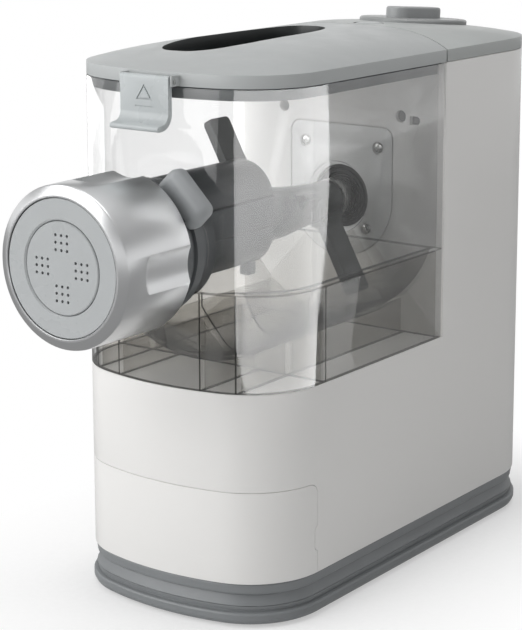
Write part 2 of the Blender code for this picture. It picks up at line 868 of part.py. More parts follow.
def gear(name, teeth, front, rear, bore, centre_z, paint, toward, phase):
    """A spur gear on an axis along Y, with trapezoid teeth.

    Phase is the share of a tooth pitch that lies in the direction of the meshing gear.
    """
    pitch_radius = gear_module * teeth / 2
    tip = pitch_radius + gear_module - gear_clearance
    root = pitch_radius - 1.25 * gear_module
    tooth = 2 * math.pi / teeth
    outline = []
    for index in range(teeth):
        start = toward + index * tooth
        for share, reach in tooth_shares(root, tip):
            angle = start + (share - phase) * tooth
            outline.append((reach * math.cos(angle), centre_z + reach * math.sin(angle)))
    wheel = plate(name, outline, front, rear, paint, facing="Y")
    if bore:
        cut(wheel, rods(f"{name}_bore", bore, [(0.0, centre_z)],
                        front - overrun, rear + overrun, sides=12))
    return wheel


def make_drive(mixing):
    """Gear frame, two-stage gear train, motor and cooling fan in the rear column."""
    front = wall_face + back_wall + frame_gap
    rear = front + frame_plate + frame_spacing
    idler_z = axis_height - gear_centre
    motor_z = idler_z - gear_centre
    top = axis_height + gear_centre
    low = motor_z - gear_centre
    half = frame_half_width
    outline = [(-half, low), (half, low), (half, top), (-half, top)]
    post_places = [(x * (half - frame_post_inset), z) for x in (-1, 1)
                   for z in (low + frame_post_inset, top - frame_post_inset)]
    axes = (axis_height, idler_z, motor_z)
    bearing_hole = bearing_radius + gap
    frame = plate("gear_frame_front", outline, front, front + frame_plate, metal(), facing="Y")
    back = plate("gear_frame_rear", outline, rear, rear + frame_plate, metal(), facing="Y")
    for item, start in ((frame, front), (back, rear)):
        holes = [(0.0, z) for z in axes]
        cut(item, rods(f"{item.name}_holes", bearing_hole, holes,
                       start - overrun, start + frame_plate + overrun, sides=12))
    bosses = rods("frame_bosses", frame_post_radius, post_places, front - frame_gap + gap,
                  rear - gap, sides=8)
    cut(frame, bosses, "UNION")
    names = ("output", "idler", "motor")
    bronze = material("bronze", brass, 0.4, 1.0)
    for name, z in zip(names, axes):
        radius = motor_shaft_radius if name == "motor" else shaft_radius
        for side, start in (("front", front), ("rear", rear)):
            turned_along_y(f"{name}_bearing_{side}", [(bearing_radius, start, start + frame_plate)],
                           bronze, steps=12, bore=radius + bearing_bore_gap, z=z)
    first_stage = rear - gear_clearance - gear_width - shaft_overhang
    second_stage = front + frame_plate + stage_space
    shaft_end = rear + frame_plate + shaft_overhang
    nylon = material("nylon", white, 0.5)
    down = -math.pi / 2
    wheel_phase = 0.05
    pinion_phase = 0.55
    shaft = turned_along_y("output_shaft", [(coupling_radius, hub_rear + gap, front),
                                            (shaft_radius, front, shaft_end)], metal(), steps=20)
    tip = rods("shaft_tip", shaft_flat_radius, [(0.0, axis_height)],
               hub_rear - socket_depth + gap, hub_rear + overrun, sides=6)
    cut(shaft, tip, "UNION")
    output = gear("output_gear", output_teeth, second_stage, second_stage + gear_width,
                  shaft_radius + gap, axis_height, nylon, down, wheel_phase)
    idler = gear("idler_gear", idler_teeth, first_stage, first_stage + gear_width,
                 shaft_radius + gap, idler_z, nylon, down, wheel_phase)
    shaft_start = front - shaft_overhang
    idler_shaft = turned_along_y("idler_shaft", [(shaft_radius, shaft_start, shaft_end)],
                                 metal(), steps=16, z=idler_z)
    idler_pinion = gear("idler_pinion_teeth", pinion_teeth, second_stage, second_stage + gear_width,
                        0.0, idler_z, None, -down, pinion_phase)
    cut(idler_shaft, idler_pinion, "UNION")
    motor_rear = rear + frame_plate + gap + motor_length
    fan_front = motor_rear + shaft_overhang
    fan_rear = fan_front + fan_width
    rotor = turned_along_y("motor_shaft", [(motor_shaft_radius, shaft_start, fan_rear)],
                           metal(), steps=16, z=motor_z)
    cut(rotor, gear("motor_pinion_teeth", pinion_teeth, first_stage, first_stage + gear_width,
                    0.0, motor_z, None, -down, pinion_phase), "UNION")
    can_front = rear + frame_plate + gap
    shoulder = can_front + motor_nose
    turned_along_y("motor_can", [(motor_nose_radius, can_front, shoulder),
                                 (motor_radius, shoulder, motor_rear)],
                   metal(), steps=32, bore=motor_shaft_radius + gap, z=motor_z)
    fan = turned_along_y("cooling_fan", [(fan_hub_radius, fan_front, fan_rear)],
                         dark_plastic(), steps=16, bore=motor_shaft_radius + gap, z=motor_z)
    blade_low = (motor_shaft_radius + fan_hub_radius) / 2
    for index in range(fan_blades):
        blade = box(f"fan_blade_{index + 1}",
                    (blade_low, fan_front, -fan_blade_thickness / 2),
                    (fan_radius, fan_rear, fan_blade_thickness / 2))
        turn = Matrix.Rotation(2 * math.pi * index / fan_blades, 4, "Y")
        blade.data.transform(Matrix.Translation((0.0, 0.0, motor_z)) @ turn)
        cut(fan, blade, "UNION")
    joint_axis("output_axis", (0.0, wall_face, axis_height), mixing + [shaft, output])
    joint_axis("idler_axis", (0.0, wall_face, idler_z), [idler, idler_shaft])
    joint_axis("motor_axis", (0.0, wall_face, motor_z), [rotor, fan])


def crown(name, inset, drop):
    """A closed solid of the pillow-shaped top, made of scaled copies of the outline."""
    outline = plan(-inset)
    low = lid_height - (overrun if inset else 0.0)
    levels = [(1.0, low)]
    for share in crown_shares:
        levels.append((share, crease_height - drop + crown_rise * (1 - share ** 3)))
    centre_y = (body_front + body_rear) / 2
    shape = bmesh.new()
    rings = [[shape.verts.new((x * share, centre_y + (y - centre_y) * share, z)) for x, y in outline]
             for share, z in levels]
    for lower, upper in zip(rings, rings[1:]):
        for index in range(len(outline)):
            after = (index + 1) % len(outline)
            shape.faces.new((lower[index], lower[after], upper[after], upper[index]))
    shape.faces.new(rings[0][::-1])
    peak = shape.verts.new((0.0, centre_y, crease_height - drop + crown_rise))
    for index in range(len(outline)):
        after = (index + 1) % len(outline)
        shape.faces.new((rings[-1][index], rings[-1][after], peak))
    mesh = bpy.data.meshes.new(name)
    shape.to_mesh(mesh)
    shape.free()
    return add(name, mesh, None)


def seam(shift):
    """Points of the bowed seam between lid and rear cover, from right to left."""
    half = width / 2 + base_step
    radius = (half ** 2 + seam_sagitta ** 2) / (2 * seam_sagitta)
    turn = math.asin(half / radius)
    centre = seam_edge_y + seam_sagitta - radius
    return circle(radius + shift, (0.0, centre), 14, math.pi / 2 - turn, math.pi / 2 + turn, ends=True)


def front_region(shift):
    """Everything in front of the seam."""
    edge = seam(shift)
    far = length
    return [(-far, -far), (far, -far), (far, edge[0][1]), *edge, (-far, edge[-1][1])]


def rear_region(shift):
    """Everything behind the seam."""
    edge = seam(shift)
    far = length
    return [(far, edge[0][1]), (far, far), (-far, far), (-far, edge[-1][1]), *reversed(edge)]


def slot_outline(grow):
    """A long oval with fuller ends than an ellipse."""
    points = []
    steps = 28
    for step in range(steps):
        angle = 2 * math.pi * step / steps
        cosine = math.cos(angle)
        sine = math.sin(angle)
        x = math.copysign(abs(cosine) ** (2 / slot_power), cosine)
        y = math.copysign(abs(sine) ** (2 / slot_power), sine)
        points.append((slot_x + (slot_half_width + grow) * x, slot_y + (slot_half_length + grow) * y))
    return points


def make_lid():
    """Grey lid with its filling slot, pouring grid, dark collar, ears and latch."""
    top = crease_height + crown_rise + overrun
    lid = plate("lid_shell", front_region(-seam_half_gap), lid_height, top, light_plastic())
    cut(lid, crown("lid_outside", 0.0, 0.0), "INTERSECT")
    space = plate("lid_space", front_region(-seam_half_gap - lid_wall), lid_height - overrun, top)
    cut(space, crown("lid_inside", lid_wall, lid_wall), "INTERSECT")
    cut(space, plate("slot_wall_stays", slot_outline(slot_wall), lid_height - 2 * overrun, top))
    cut(lid, space)
    cut(lid, plate("lid_slot", slot_outline(0.0), lid_height - overrun, top + overrun))
    grid_top = lid_height - gap
    grid = plate("pouring_grid", slot_outline(slot_wall), grid_top - grid_thickness, grid_top,
                 dark_plastic())
    middle = (grid_slits - 1) / 2
    reach = slot_half_width * grid_reach_share
    slits = []
    for index in range(grid_slits):
        y = slot_y + (index - middle) * slot_half_length * grid_pitch_share
        slits.append(((slot_x - reach, y - grid_slit_width / 2, grid_top - grid_thickness - overrun),
                      (slot_x + reach, y + grid_slit_width / 2, grid_top + overrun)))
    cut(grid, boxes("grid_slits", slits))
    rear = chamber_rear()
    collar = plate("lid_collar", clip(plan(-collar_inset), rear, "front"),
                   chamber_height + gap, grid_top, dark_plastic())
    inner = clip(plan(-collar_inset - collar_wall), rear - collar_wall, "front")
    cut(collar, plate("collar_space", inner, chamber_height - overrun, lid_height + overrun))
    latch, pin, pin_spot = make_latch(lid)
    latch_axis = joint_axis("latch_flip_axis", pin_spot, [latch])
    hinge = (0.0, seam_edge_y + seam_sagitta, crease_height + crown_rise)
    joint_axis("lid_open_axis", hinge, [lid, grid, collar, pin, latch_axis])


def make_latch(lid):
    """Front clip that curls forward at its foot, on a cross pin between two ears."""
    face = body_front - latch_face
    back = face + latch_thickness
    lip = face - latch_lip
    pin_y = body_front - latch_knuckle - latch_pin_radius
    pin_z = latch_top - latch_knuckle - latch_pin_radius
    half = latch_width / 2
    bend = latch_thickness
    section = [(back, latch_top - bend), (back - bend / 2, latch_top), (face, latch_top - bend),
               (face, latch_bend), (face - bend, latch_bend - bend), (lip, latch_bottom + bend),
               (lip, latch_bottom), (face, latch_bottom), (back, latch_bend - bend)]
    latch = plate("lid_latch", section[::-1], -half, half, light_plastic(), facing="X")
    knuckle = rods("latch_knuckle", latch_knuckle, [(pin_y, pin_z)], -half, half, facing="X")
    cut(latch, knuckle, "UNION")
    cut(latch, rods("latch_bore", latch_pin_radius + gap, [(pin_y, pin_z)],
                    -width, width, facing="X", sides=12))
    ear_out = half + gap + latch_ear
    pin = rods("latch_pin", latch_pin_radius, [(pin_y, pin_z)], -ear_out, ear_out,
               metal(), facing="X", sides=12)
    for index, side in enumerate((-1, 1)):
        inside = side * (half + gap)
        outside = side * ear_out
        ear = box(f"latch_ear_{index + 1}",
                  (min(inside, outside), pin_y - latch_knuckle, lid_height),
                  (max(inside, outside), body_front + lid_wall, crease_height - gap))
        cut(lid, ear, "UNION")
    cut(lid, rods("ear_bore", latch_pin_radius + gap, [(pin_y, pin_z)], -width, width,
                  facing="X", sides=12))
    return latch, pin, (0.0, pin_y, pin_z)


def cover_posts():
    return [(x, y) for x in (-post_x, post_x)
            for y in (board_front + post_inset, board_rear - post_inset)]


def make_rear_cover():
    """Grey rear cover with the knob pocket, button opening and posts for the board."""
    top = crease_height + crown_rise + overrun
    cover = plate("rear_cover", rear_region(seam_half_gap), lid_height, top, mid_plastic())
    cut(cover, crown("cover_outside", 0.0, 0.0), "INTERSECT")
    space = plate("cover_space", rear_region(seam_half_gap + lid_wall), lid_height - overrun, top)
    cut(space, crown("cover_inside", lid_wall, lid_wall), "INTERSECT")
    cut(space, rods("posts_stay", post_radius, cover_posts(), lid_height - 2 * overrun, top,
                    facing="Z", sides=12))
    cut(cover, space)
    cut(cover, rods("post_screw_holes", board_screw_radius + gap, cover_posts(),
                    lid_height - overrun, lid_height + board_screw_length, facing="Z", sides=8))
    pocket = knob_cutter("knob_pocket", knob_radius + gap, -knob_thickness - gap, overrun)
    cut(cover, pocket)
    cut(cover, knob_cutter("knob_shaft_hole", knob_shaft_radius + 2 * gap, -3 * overrun, 0.0))
    cut(cover, rods("button_hole", button_radius + gap, [(0.0, button_y)],
                    lid_height - overrun, top, facing="Z", sides=24))
    return cover


def knob_place():
    """Placement of the dial's top face, tilted back with the cover."""
    return Matrix.Translation((0.0, knob_y, knob_top)) @ Matrix.Rotation(-knob_tilt, 4, "X")


def knob_cutter(name, radius, low, high):
    """A cylinder along the knob's tilted axis, measured from the dial's top."""
    item = rods(name, radius, [(0.0, 0.0)], low, high, facing="Z", sides=32)
    item.data.transform(knob_place())
    return item


def make_controls():
    """Dial with its grip and shaft, start button, switches and control board."""
    profile = [(0.0, 0.0), (knob_radius - knob_bevel, 0.0), (knob_radius, -knob_bevel),
               (knob_radius, -knob_thickness), (0.0, -knob_thickness)]
    knob = turned("control_knob", profile, (0.0, 0.0, 0.0), light_plastic(), "Z", steps=32)
    knob.matrix_world = knob_place()
    outline = circle(grip_half_width, (0.0, grip_half_length - grip_half_width), 8,
                     0.0, math.pi, ends=True)
    outline += circle(grip_half_width, (0.0, grip_half_width - grip_half_length), 8,
                      math.pi, 2 * math.pi, ends=True)
    bar = plate("grip_bar", outline, -knob_thickness / 2, grip_height)
    bar.data.transform(knob_place() @ Matrix.Rotation(grip_turn, 4, "Z"))
    cut(knob, bar, "UNION")
    board_top = lid_height - gap
    switch_top = board_top + gap + switch_height
    drop = (knob_top - switch_top - gap - knob_shaft_radius * math.sin(knob_tilt)) / math.cos(knob_tilt)
    stem = knob_cutter("knob_stem", knob_shaft_radius, -drop, -knob_thickness / 2)
    cut(knob, stem, "UNION")
    board = box("control_board", (-board_half_width, board_front, board_top - board_thickness),
                (board_half_width, board_rear, board_top), material("board", board_green, 0.5))
    low = board_top - board_thickness
    cut(board, rods("board_holes", board_screw_radius + gap, cover_posts(),
                    low - overrun, board_top + overrun, facing="Z", sides=8))
    for index, (x, y) in enumerate(cover_posts()):
        seat = low - gap
        tip = board_screw_length - board_screw_play
        profile = [(0.0, tip), (board_screw_radius, tip), (board_screw_radius, 0.0),
                   (board_screw_head, 0.0), (board_screw_head, -board_screw_head_height),
                   (0.0, -board_screw_head_height)]
        turned(f"board_screw_{index + 1}", profile, (x, y, seat), metal(), "Z", steps=8)
    knob_foot_y = knob_y - drop * math.sin(knob_tilt)
    box("rotary_switch", (-switch_half, knob_foot_y - switch_half, board_top + gap),
        (switch_half, knob_foot_y + switch_half, switch_top), dark_plastic())
    push_top = board_top + gap + push_switch_height
    box("push_switch", (-push_switch_half, button_y - push_switch_half, board_top + gap),
        (push_switch_half, button_y + push_switch_half, push_top), dark_plastic())
    profile = [(0.0, button_top), (button_radius - knob_bevel, button_top),
               (button_radius, button_top - knob_bevel), (button_radius, button_top - button_height),
               (button_stem_radius, button_top - button_height),
               (button_stem_radius, push_top + button_travel), (0.0, push_top + button_travel)]
    button = turned("start_button", profile, (0.0, button_y, 0.0), light_plastic(), "Z", steps=24)
    joint_axis("button_press_axis", (0.0, button_y, button_top), [button])
    joint_axis("knob_turn_axis", (0.0, knob_y, knob_top), [knob])


def make_power():
    """Empty cord inlet in the rear wall, the power board and the switch behind the lid."""
    sleeve_front = body_rear - wall - gap - inlet_flange
    sections = [(inlet_flange_radius, sleeve_front, body_rear - wall - gap),
                (inlet_radius, body_rear - wall - gap, body_rear)]
    turned_along_y("cord_inlet", sections, dark_plastic(), steps=20, bore=inlet_bore, z=inlet_z)
    low = plinth_top + gap
    board_low = low + power_board_leg
    half = power_board_half_width
    board = box("power_board", (-half, power_board_front, board_low),
                (half, power_board_rear, board_low + board_thickness),
                material("board", board_green, 0.5))
    inset = 2 * power_board_leg_radius
    places = [(x, y) for x in (inset - half, half - inset)
              for y in (power_board_front + inset, power_board_rear - inset)]
    cut(board, rods("power_board_legs", power_board_leg_radius, places, low,
                    board_low + board_thickness / 2, facing="Z", sides=10), "UNION")
    front = wall_face + back_wall + gap
    half = lid_switch_half
    box("lid_switch", (locator_x - half, front, locator_z - half),
        (locator_x + half, front + lid_switch_depth, locator_z + half), dark_plastic())


make_housing()
make_base()
make_drawer()
make_drive_cover()
make_chamber()
make_extrusion_tube()
make_ring()
make_drive(make_output_line())
make_lid()
make_rear_cover()
make_controls()
make_power()
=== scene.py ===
# %% [markdown]
# # Electric pasta maker
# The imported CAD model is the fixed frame. Each cell below models one visible piece over it, at its
# real size and place, and gives it a finish. All lengths are in metres, +Z is up and -Y is in
# front.

# %% Load the frame
import math

import bpy
from mathutils import Matrix, Vector


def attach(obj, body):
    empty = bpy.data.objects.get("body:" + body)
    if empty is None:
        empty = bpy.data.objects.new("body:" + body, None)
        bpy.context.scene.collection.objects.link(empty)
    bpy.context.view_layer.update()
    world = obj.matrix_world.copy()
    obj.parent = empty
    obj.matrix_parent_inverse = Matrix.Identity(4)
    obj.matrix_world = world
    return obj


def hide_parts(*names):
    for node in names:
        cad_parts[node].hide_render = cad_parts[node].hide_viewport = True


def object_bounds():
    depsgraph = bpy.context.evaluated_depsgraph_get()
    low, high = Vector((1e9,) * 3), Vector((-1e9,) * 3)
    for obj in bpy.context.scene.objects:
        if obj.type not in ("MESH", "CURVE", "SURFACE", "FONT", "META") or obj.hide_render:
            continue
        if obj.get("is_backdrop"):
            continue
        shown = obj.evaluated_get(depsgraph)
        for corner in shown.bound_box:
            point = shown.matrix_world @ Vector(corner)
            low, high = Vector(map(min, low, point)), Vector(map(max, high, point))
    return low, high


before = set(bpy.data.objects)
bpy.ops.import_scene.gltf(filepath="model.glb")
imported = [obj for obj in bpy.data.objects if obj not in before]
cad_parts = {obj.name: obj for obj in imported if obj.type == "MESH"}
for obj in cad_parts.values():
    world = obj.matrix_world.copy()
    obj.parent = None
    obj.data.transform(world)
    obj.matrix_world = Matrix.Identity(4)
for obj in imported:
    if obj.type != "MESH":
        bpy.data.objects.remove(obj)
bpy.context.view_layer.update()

# %% [markdown]
# The sizes are the machine's own. Naming them once keeps the cells readable, and a cell can use
# the same number as its neighbour, so that seams stay even.

# %% Sizes
GAP = 0.0003
FAR = 0.4
WALL = 0.0022
WIDTH = 0.135
BODY_FRONT, BODY_REAR = -0.107, 0.1745
FRONT_BOW, FRONT_CORNER = 0.147, 0.041
REAR_BOW, REAR_CORNER = 0.319, 0.045
SHELF, CHAMBER_TOP = 0.121, 0.2655
LID_LOW, CREASE, RISE = 0.272, 0.2785, 0.009
AXIS = 0.1925
WALL_FACE = 0.0577
PLINTH_TOP, PLATE_TOP, FOOT = 0.0227, 0.011, 0.0015
DRAWER_TOP, DRAWER_SPLIT = 0.0708, -0.062
RING_FRONT, RING_REAR = -0.1755, -0.1265
MIDDLE_Y = (BODY_FRONT + BODY_REAR) / 2
TURNS = {
    "Z": Matrix.Identity(4),
    "Y": Matrix.Rotation(math.pi / 2, 4, "X"),
    "X": Matrix(((0, 0, 1, 0), (1, 0, 0, 0), (0, 1, 0, 0), (0, 0, 0, 1))),
}
print("body", WIDTH, "wide and", round(BODY_REAR - BODY_FRONT, 4), "long")

# %% [markdown]
# Operators work on what is selected, so every step starts by leaving edit mode and deselecting
# all. These helpers do what the hand does again and again: start a primitive, name it, and bring it
# to its place. Each shape is drawn along +Z, and a turn then lays it along the axis it needs.

# %% Helpers that start a shape
MERGE = 0.000005


def rest():
    """Leave edit mode and deselect everything."""
    if bpy.context.mode != "OBJECT":
        bpy.ops.object.mode_set(mode="OBJECT")
    bpy.ops.object.select_all(action="DESELECT")


def only(piece):
    """Select one piece and make it active."""
    rest()
    piece.select_set(True)
    bpy.context.view_layer.objects.active = piece
    return piece


def face_outwards():
    """Turn all faces of the piece in edit mode outwards, and leave edit mode."""
    bpy.ops.mesh.select_all(action="SELECT")
    bpy.ops.mesh.normals_make_consistent(inside=False)
    rest()


def prism(points, low, high, facing="Z"):
    """A flat disc whose rim is brought to an outline, then pulled up along an axis."""
    rest()
    bpy.ops.mesh.primitive_circle_add(vertices=len(points), radius=1.0, fill_type="NGON")
    piece = bpy.context.active_object
    start, lift = (-high, high - low) if facing == "Y" else (low, high - low)
    for vertex, (u, v) in zip(piece.data.vertices, points):
        vertex.co = (u, v, start)
    bpy.ops.object.mode_set(mode="EDIT")
    bpy.ops.mesh.select_all(action="SELECT")
    bpy.ops.mesh.extrude_region_move(TRANSFORM_OT_translate={"value": (0.0, 0.0, lift)})
    face_outwards()
    piece.data.transform(TURNS[facing])
    return piece


def block(low, high):
    """A cube between two corners."""
    rest()
    size = Vector(high) - Vector(low)
    bpy.ops.mesh.primitive_cube_add(size=1.0, location=(Vector(high) + Vector(low)) / 2)
    piece = bpy.context.active_object
    piece.scale = size
    only(piece)
    bpy.ops.object.transform_apply(location=True, rotation=True, scale=True)
    return piece


def turned(profile, spot=(0.0, 0.0, 0.0), facing="Z", steps=96):
    """A corner drawn along a (radius, height) profile and spun once round the axis.

    Facing Y puts the height along -Y, so that heights are distances towards the front.
    """
    rest()
    bpy.ops.mesh.primitive_plane_add(size=0.001)
    piece = bpy.context.active_object
    bpy.ops.object.mode_set(mode="EDIT")
    bpy.ops.mesh.select_mode(type="VERT")
    bpy.ops.mesh.select_all(action="SELECT")
    bpy.ops.mesh.merge(type="CENTER")
    bpy.ops.transform.translate(value=(profile[0][0], 0.0, profile[0][1]))
    for (r0, h0), (r1, h1) in zip(profile, profile[1:]):
        step = (r1 - r0, 0.0, h1 - h0)
        bpy.ops.mesh.extrude_region_move(TRANSFORM_OT_translate={"value": step})
    bpy.ops.mesh.select_all(action="SELECT")
    bpy.ops.mesh.spin(steps=steps, angle=2 * math.pi, center=(0, 0, 0), axis=(0, 0, 1))
    bpy.ops.mesh.select_all(action="SELECT")
    bpy.ops.mesh.remove_doubles(threshold=MERGE)
    face_outwards()
    piece.data.transform(Matrix.Translation(spot) @ TURNS[facing])
    return piece


def rod(radius, spot, low, high, facing="Y", sides=48):
    """A bar along an axis; spot is its other two coordinates."""
    rest()
    bpy.ops.mesh.primitive_cylinder_add(vertices=sides, radius=radius, depth=high - low)
    piece = bpy.context.active_object
    turn = {"X": Matrix.Rotation(math.pi / 2, 4, "Y"), "Y": Matrix.Rotation(-math.pi / 2, 4, "X"),
            "Z": Matrix.Identity(4)}[facing]
    u, v = spot
    middle = (low + high) / 2
    centre = {"X": (middle, u, v), "Y": (u, middle, v), "Z": (u, v, middle)}[facing]
    piece.data.transform(Matrix.Translation(centre) @ turn)
    return piece


print("shapes can be drawn along", sorted(TURNS))

# %% [markdown]
# Pieces are then cut by others with the Boolean modifier, joined, and rounded with the Bevel
# modifier. Each modifier is applied at once, so that a finished piece is a plain mesh.

# %% Helpers that cut, join and round


def combine(piece, tool, how="DIFFERENCE"):
    """Apply one Boolean and throw its tool away."""
    modifier = piece.modifiers.new("cut", "BOOLEAN")
    modifier.operation = how
    modifier.solver = "EXACT"
    modifier.object = tool
    only(piece)
    bpy.ops.object.modifier_apply(modifier="cut")
    bpy.data.objects.remove(tool, do_unlink=True)
    return piece


def join(pieces):
    """Several separate shapes as one piece."""
    rest()
    for piece in pieces:
        piece.select_set(True)
    bpy.context.view_layer.objects.active = pieces[0]
    bpy.ops.object.join()
    return bpy.context.active_object


def soften(piece, width, segments=2, angle=35, smooth=32):
    """Round the edges sharper than angle, and shade smooth what is flatter than smooth."""
    only(piece)
    if width:
        modifier = piece.modifiers.new("round", "BEVEL")
        modifier.width = width
        modifier.segments = segments
        modifier.limit_method = "ANGLE"
        modifier.angle_limit = math.radians(angle)
        modifier.use_clamp_overlap = True
        bpy.ops.object.modifier_apply(modifier="round")
    bpy.ops.object.shade_smooth_by_angle(angle=math.radians(smooth))
    return piece


def arc(centre, radius, start, end, steps):
    """Points of an arc, both ends included, with angles in degrees."""
    return [(centre[0] + radius * math.cos(math.radians(start + (end - start) * i / steps)),
             centre[1] + radius * math.sin(math.radians(start + (end - start) * i / steps)))
            for i in range(steps + 1)]


def stadium(x, low, high, half, steps):
    """An upright slot with full round ends, whose centres are at low and high."""
    return arc((x, high), half, 0, 180, steps) + arc((x, low), half, 180, 360, steps)


def behind(face, points):
    """Profile points given as a radius and a depth behind a front face."""
    return [(radius, face - depth) for radius, depth in points]


print("quarter arc", len(arc((0.0, 0.0), 1.0, 0, 90, 8)), "points")

# %% [markdown]
# The machine's outline from above is two bowed ends joined by straight sides. Body, base, chamber,
# lid and drawer all follow it, each with its own offset, so one function draws it. A side that
# swells and narrows is a grid rolled up along it, one row for each height.

# %% Outline from above


def half_end(half, bow, corner):
    """One side of an end, from its middle round the corner; x to the side, y along the machine."""
    steps = 14
    inner = half - corner
    rise = math.sqrt((bow - corner) ** 2 - inner ** 2)
    turn = math.atan2(inner, rise)
    points = []
    for i in range(steps + 1):
        a = turn * i / steps
        points.append((bow * math.sin(a), bow - bow * math.cos(a)))
    for i in range(1, steps + 1):
        a = turn + (math.pi / 2 - turn) * i / steps
        points.append((inner + corner * math.sin(a), bow - rise - corner * math.cos(a)))
    return points


def plan(offset=0.0):
    """The machine's outline from above, grown outwards by the offset."""
    half = WIDTH / 2 + offset
    front = half_end(half, FRONT_BOW + offset, FRONT_CORNER + offset)
    rear = half_end(half, REAR_BOW + offset, REAR_CORNER + offset)
    right = [(x, BODY_FRONT - offset + depth) for x, depth in front]
    right += [(x, BODY_REAR + offset - depth) for x, depth in reversed(rear)]
    return right + [(-x, y) for x, y in reversed(right[1:-1])]


def clip(outline, limit, keep):
    """Cut an outline at y = limit and keep its front or its rear."""
    sign = 1 if keep == "rear" else -1
    kept = []
    for i, (x, y) in enumerate(outline):
        next_x, next_y = outline[(i + 1) % len(outline)]
        here, there = (y - limit) * sign, (next_y - limit) * sign
        if here >= 0:
            kept.append((x, y))
        if here * there < 0:
            kept.append((x + (next_x - x) * here / (here - there), limit))
    return kept


def tiers(steps):
    """A grid rolled up: each row of it goes to the outline with that step's offset and height."""
    count = len(plan())
    rest()
    bpy.ops.mesh.primitive_grid_add(x_subdivisions=count, y_subdivisions=len(steps) - 1)
    piece = bpy.context.active_object
    for row, (offset, height) in enumerate(steps):
        outline = plan(offset)
        for i in range(count + 1):
            x, y = outline[i % count]
            piece.data.vertices[row * (count + 1) + i].co = (x, y, height)
    only(piece)
    bpy.ops.object.mode_set(mode="EDIT")
    bpy.ops.mesh.select_all(action="SELECT")
    bpy.ops.mesh.remove_doubles(threshold=MERGE)
    bpy.ops.mesh.fill_holes(sides=0)
    face_outwards()
    return piece


print("outline points", len(plan()))

# %% [markdown]
# Moulded plastic is never one flat colour: its tone and its gloss wander a little, and it has a
# fine spark-eroded grain. A broad noise drives the colour, a second one drives the roughness, and
# a very fine one drives a slight bump.

# %% Helpers for finishes


def tone(red, green, blue):
    """A colour as a picture editor gives it, 0 to 255, as the shader wants it."""
    return [(c / 255 / 12.92 if c <= 10 else ((c / 255 + 0.055) / 1.055) ** 2.4)
            for c in (red, green, blue)]


def link(tree, out, into):
    tree.links.new(out, into)


def node(tree, kind, **inputs):
    """A new node with some inputs set; their names have _ for a space."""
    made = tree.nodes.new("ShaderNode" + kind)
    for name, value in inputs.items():
        made.inputs[name.replace("_", " ")].default_value = value
    return made


def noise(tree, place, scale, detail, stretch=(1.0, 1.0, 1.0)):
    mapping = node(tree, "Mapping", Scale=stretch)
    link(tree, place, mapping.inputs["Vector"])
    made = node(tree, "TexNoise", Scale=scale, Detail=detail, Roughness=0.55)
    link(tree, mapping.outputs["Vector"], made.inputs["Vector"])
    return made.outputs["Fac"]


def ranged(tree, value, low, high, start=0.3, end=0.7):
    made = node(tree, "MapRange", From_Min=start, From_Max=end, To_Min=low, To_Max=high)
    link(tree, value, made.inputs["Value"])
    return made.outputs["Result"]


def two_tone(tree, value, first, second, start=0.3, end=0.7):
    ramp = node(tree, "ValToRGB")
    ramp.color_ramp.elements[0].position = start
    ramp.color_ramp.elements[1].position = end
    ramp.color_ramp.elements[0].color = (*first, 1.0)
    ramp.color_ramp.elements[1].color = (*second, 1.0)
    link(tree, value, ramp.inputs["Fac"])
    return ramp.outputs["Color"]


def fresh(name):
    """A new material with an empty Principled shader and its Object coordinates."""
    made = bpy.data.materials.new(name)
    made.use_nodes = True
    tree = made.node_tree
    place = node(tree, "TexCoord").outputs["Object"]
    return made, tree, tree.nodes["Principled BSDF"], place


def plastic(name, colour, rough, grain, grain_scale=2600.0, spread=0.04, metallic=0.0,
            stretch=(1.0, 1.0, 1.0), rough_spread=0.06):
    """A plastic or a dull metal; the spreads say how far its tone and its gloss wander."""
    made, tree, shader, place = fresh(name)
    base = tone(*colour)
    darker = [c * (1 - spread) for c in base]
    paler = [min(c * (1 + spread), 1.0) for c in base]
    broad = noise(tree, place, 22.0, 4.0, stretch)
    link(tree, two_tone(tree, broad, darker, paler), shader.inputs["Base Color"])
    cloudy = noise(tree, place, 60.0, 3.0, stretch)
    link(tree, ranged(tree, cloudy, rough - rough_spread, rough + rough_spread),
         shader.inputs["Roughness"])
    fine = noise(tree, place, grain_scale, 2.0, stretch)
    bump = node(tree, "Bump", Strength=grain, Distance=0.0002)
    link(tree, fine, bump.inputs["Height"])
    link(tree, bump.outputs["Normal"], shader.inputs["Normal"])
    shader.inputs["Metallic"].default_value = metallic
    return made


white = plastic("white gloss plastic", (233, 232, 230), 0.30, 0.02, spread=0.003,
                rough_spread=0.015)
lid_grey = plastic("light grey lid plastic", (180, 183, 183), 0.36, 0.10, spread=0.02)
cover_grey = plastic("grey cover plastic", (178, 181, 180), 0.38, 0.10, spread=0.02)
dial_grey = plastic("grey dial plastic", (150, 152, 152), 0.32, 0.06, spread=0.02)
grip_grey = plastic("darker grip plastic", (158, 160, 161), 0.34, 0.06, spread=0.02)
base_grey = plastic("grey base plastic", (130, 133, 135), 0.42, 0.14, spread=0.03)
collar_grey = plastic("collar plastic", (96, 100, 101), 0.35, 0.05, spread=0.03)
tube_grey = plastic("dark tube plastic", (84, 87, 89), 0.34, 0.08, spread=0.03)
pad_grey = plastic("grip pad plastic", (158, 161, 163), 0.38, 0.08, spread=0.02)
paddle_grey = plastic("charcoal paddle plastic", (40, 44, 44), 0.36, 0.08, spread=0.06)
disc_grey = plastic("shaping disc plastic", (176, 179, 180), 0.30, 0.04, spread=0.015)
latch_grey = plastic("latch plastic", (182, 187, 188), 0.30, 0.05, spread=0.015)
tray_white = plastic("tray plastic", (205, 206, 205), 0.40, 0.08, spread=0.02)
nylon = plastic("natural nylon", (226, 222, 206), 0.45, 0.05, spread=0.03)
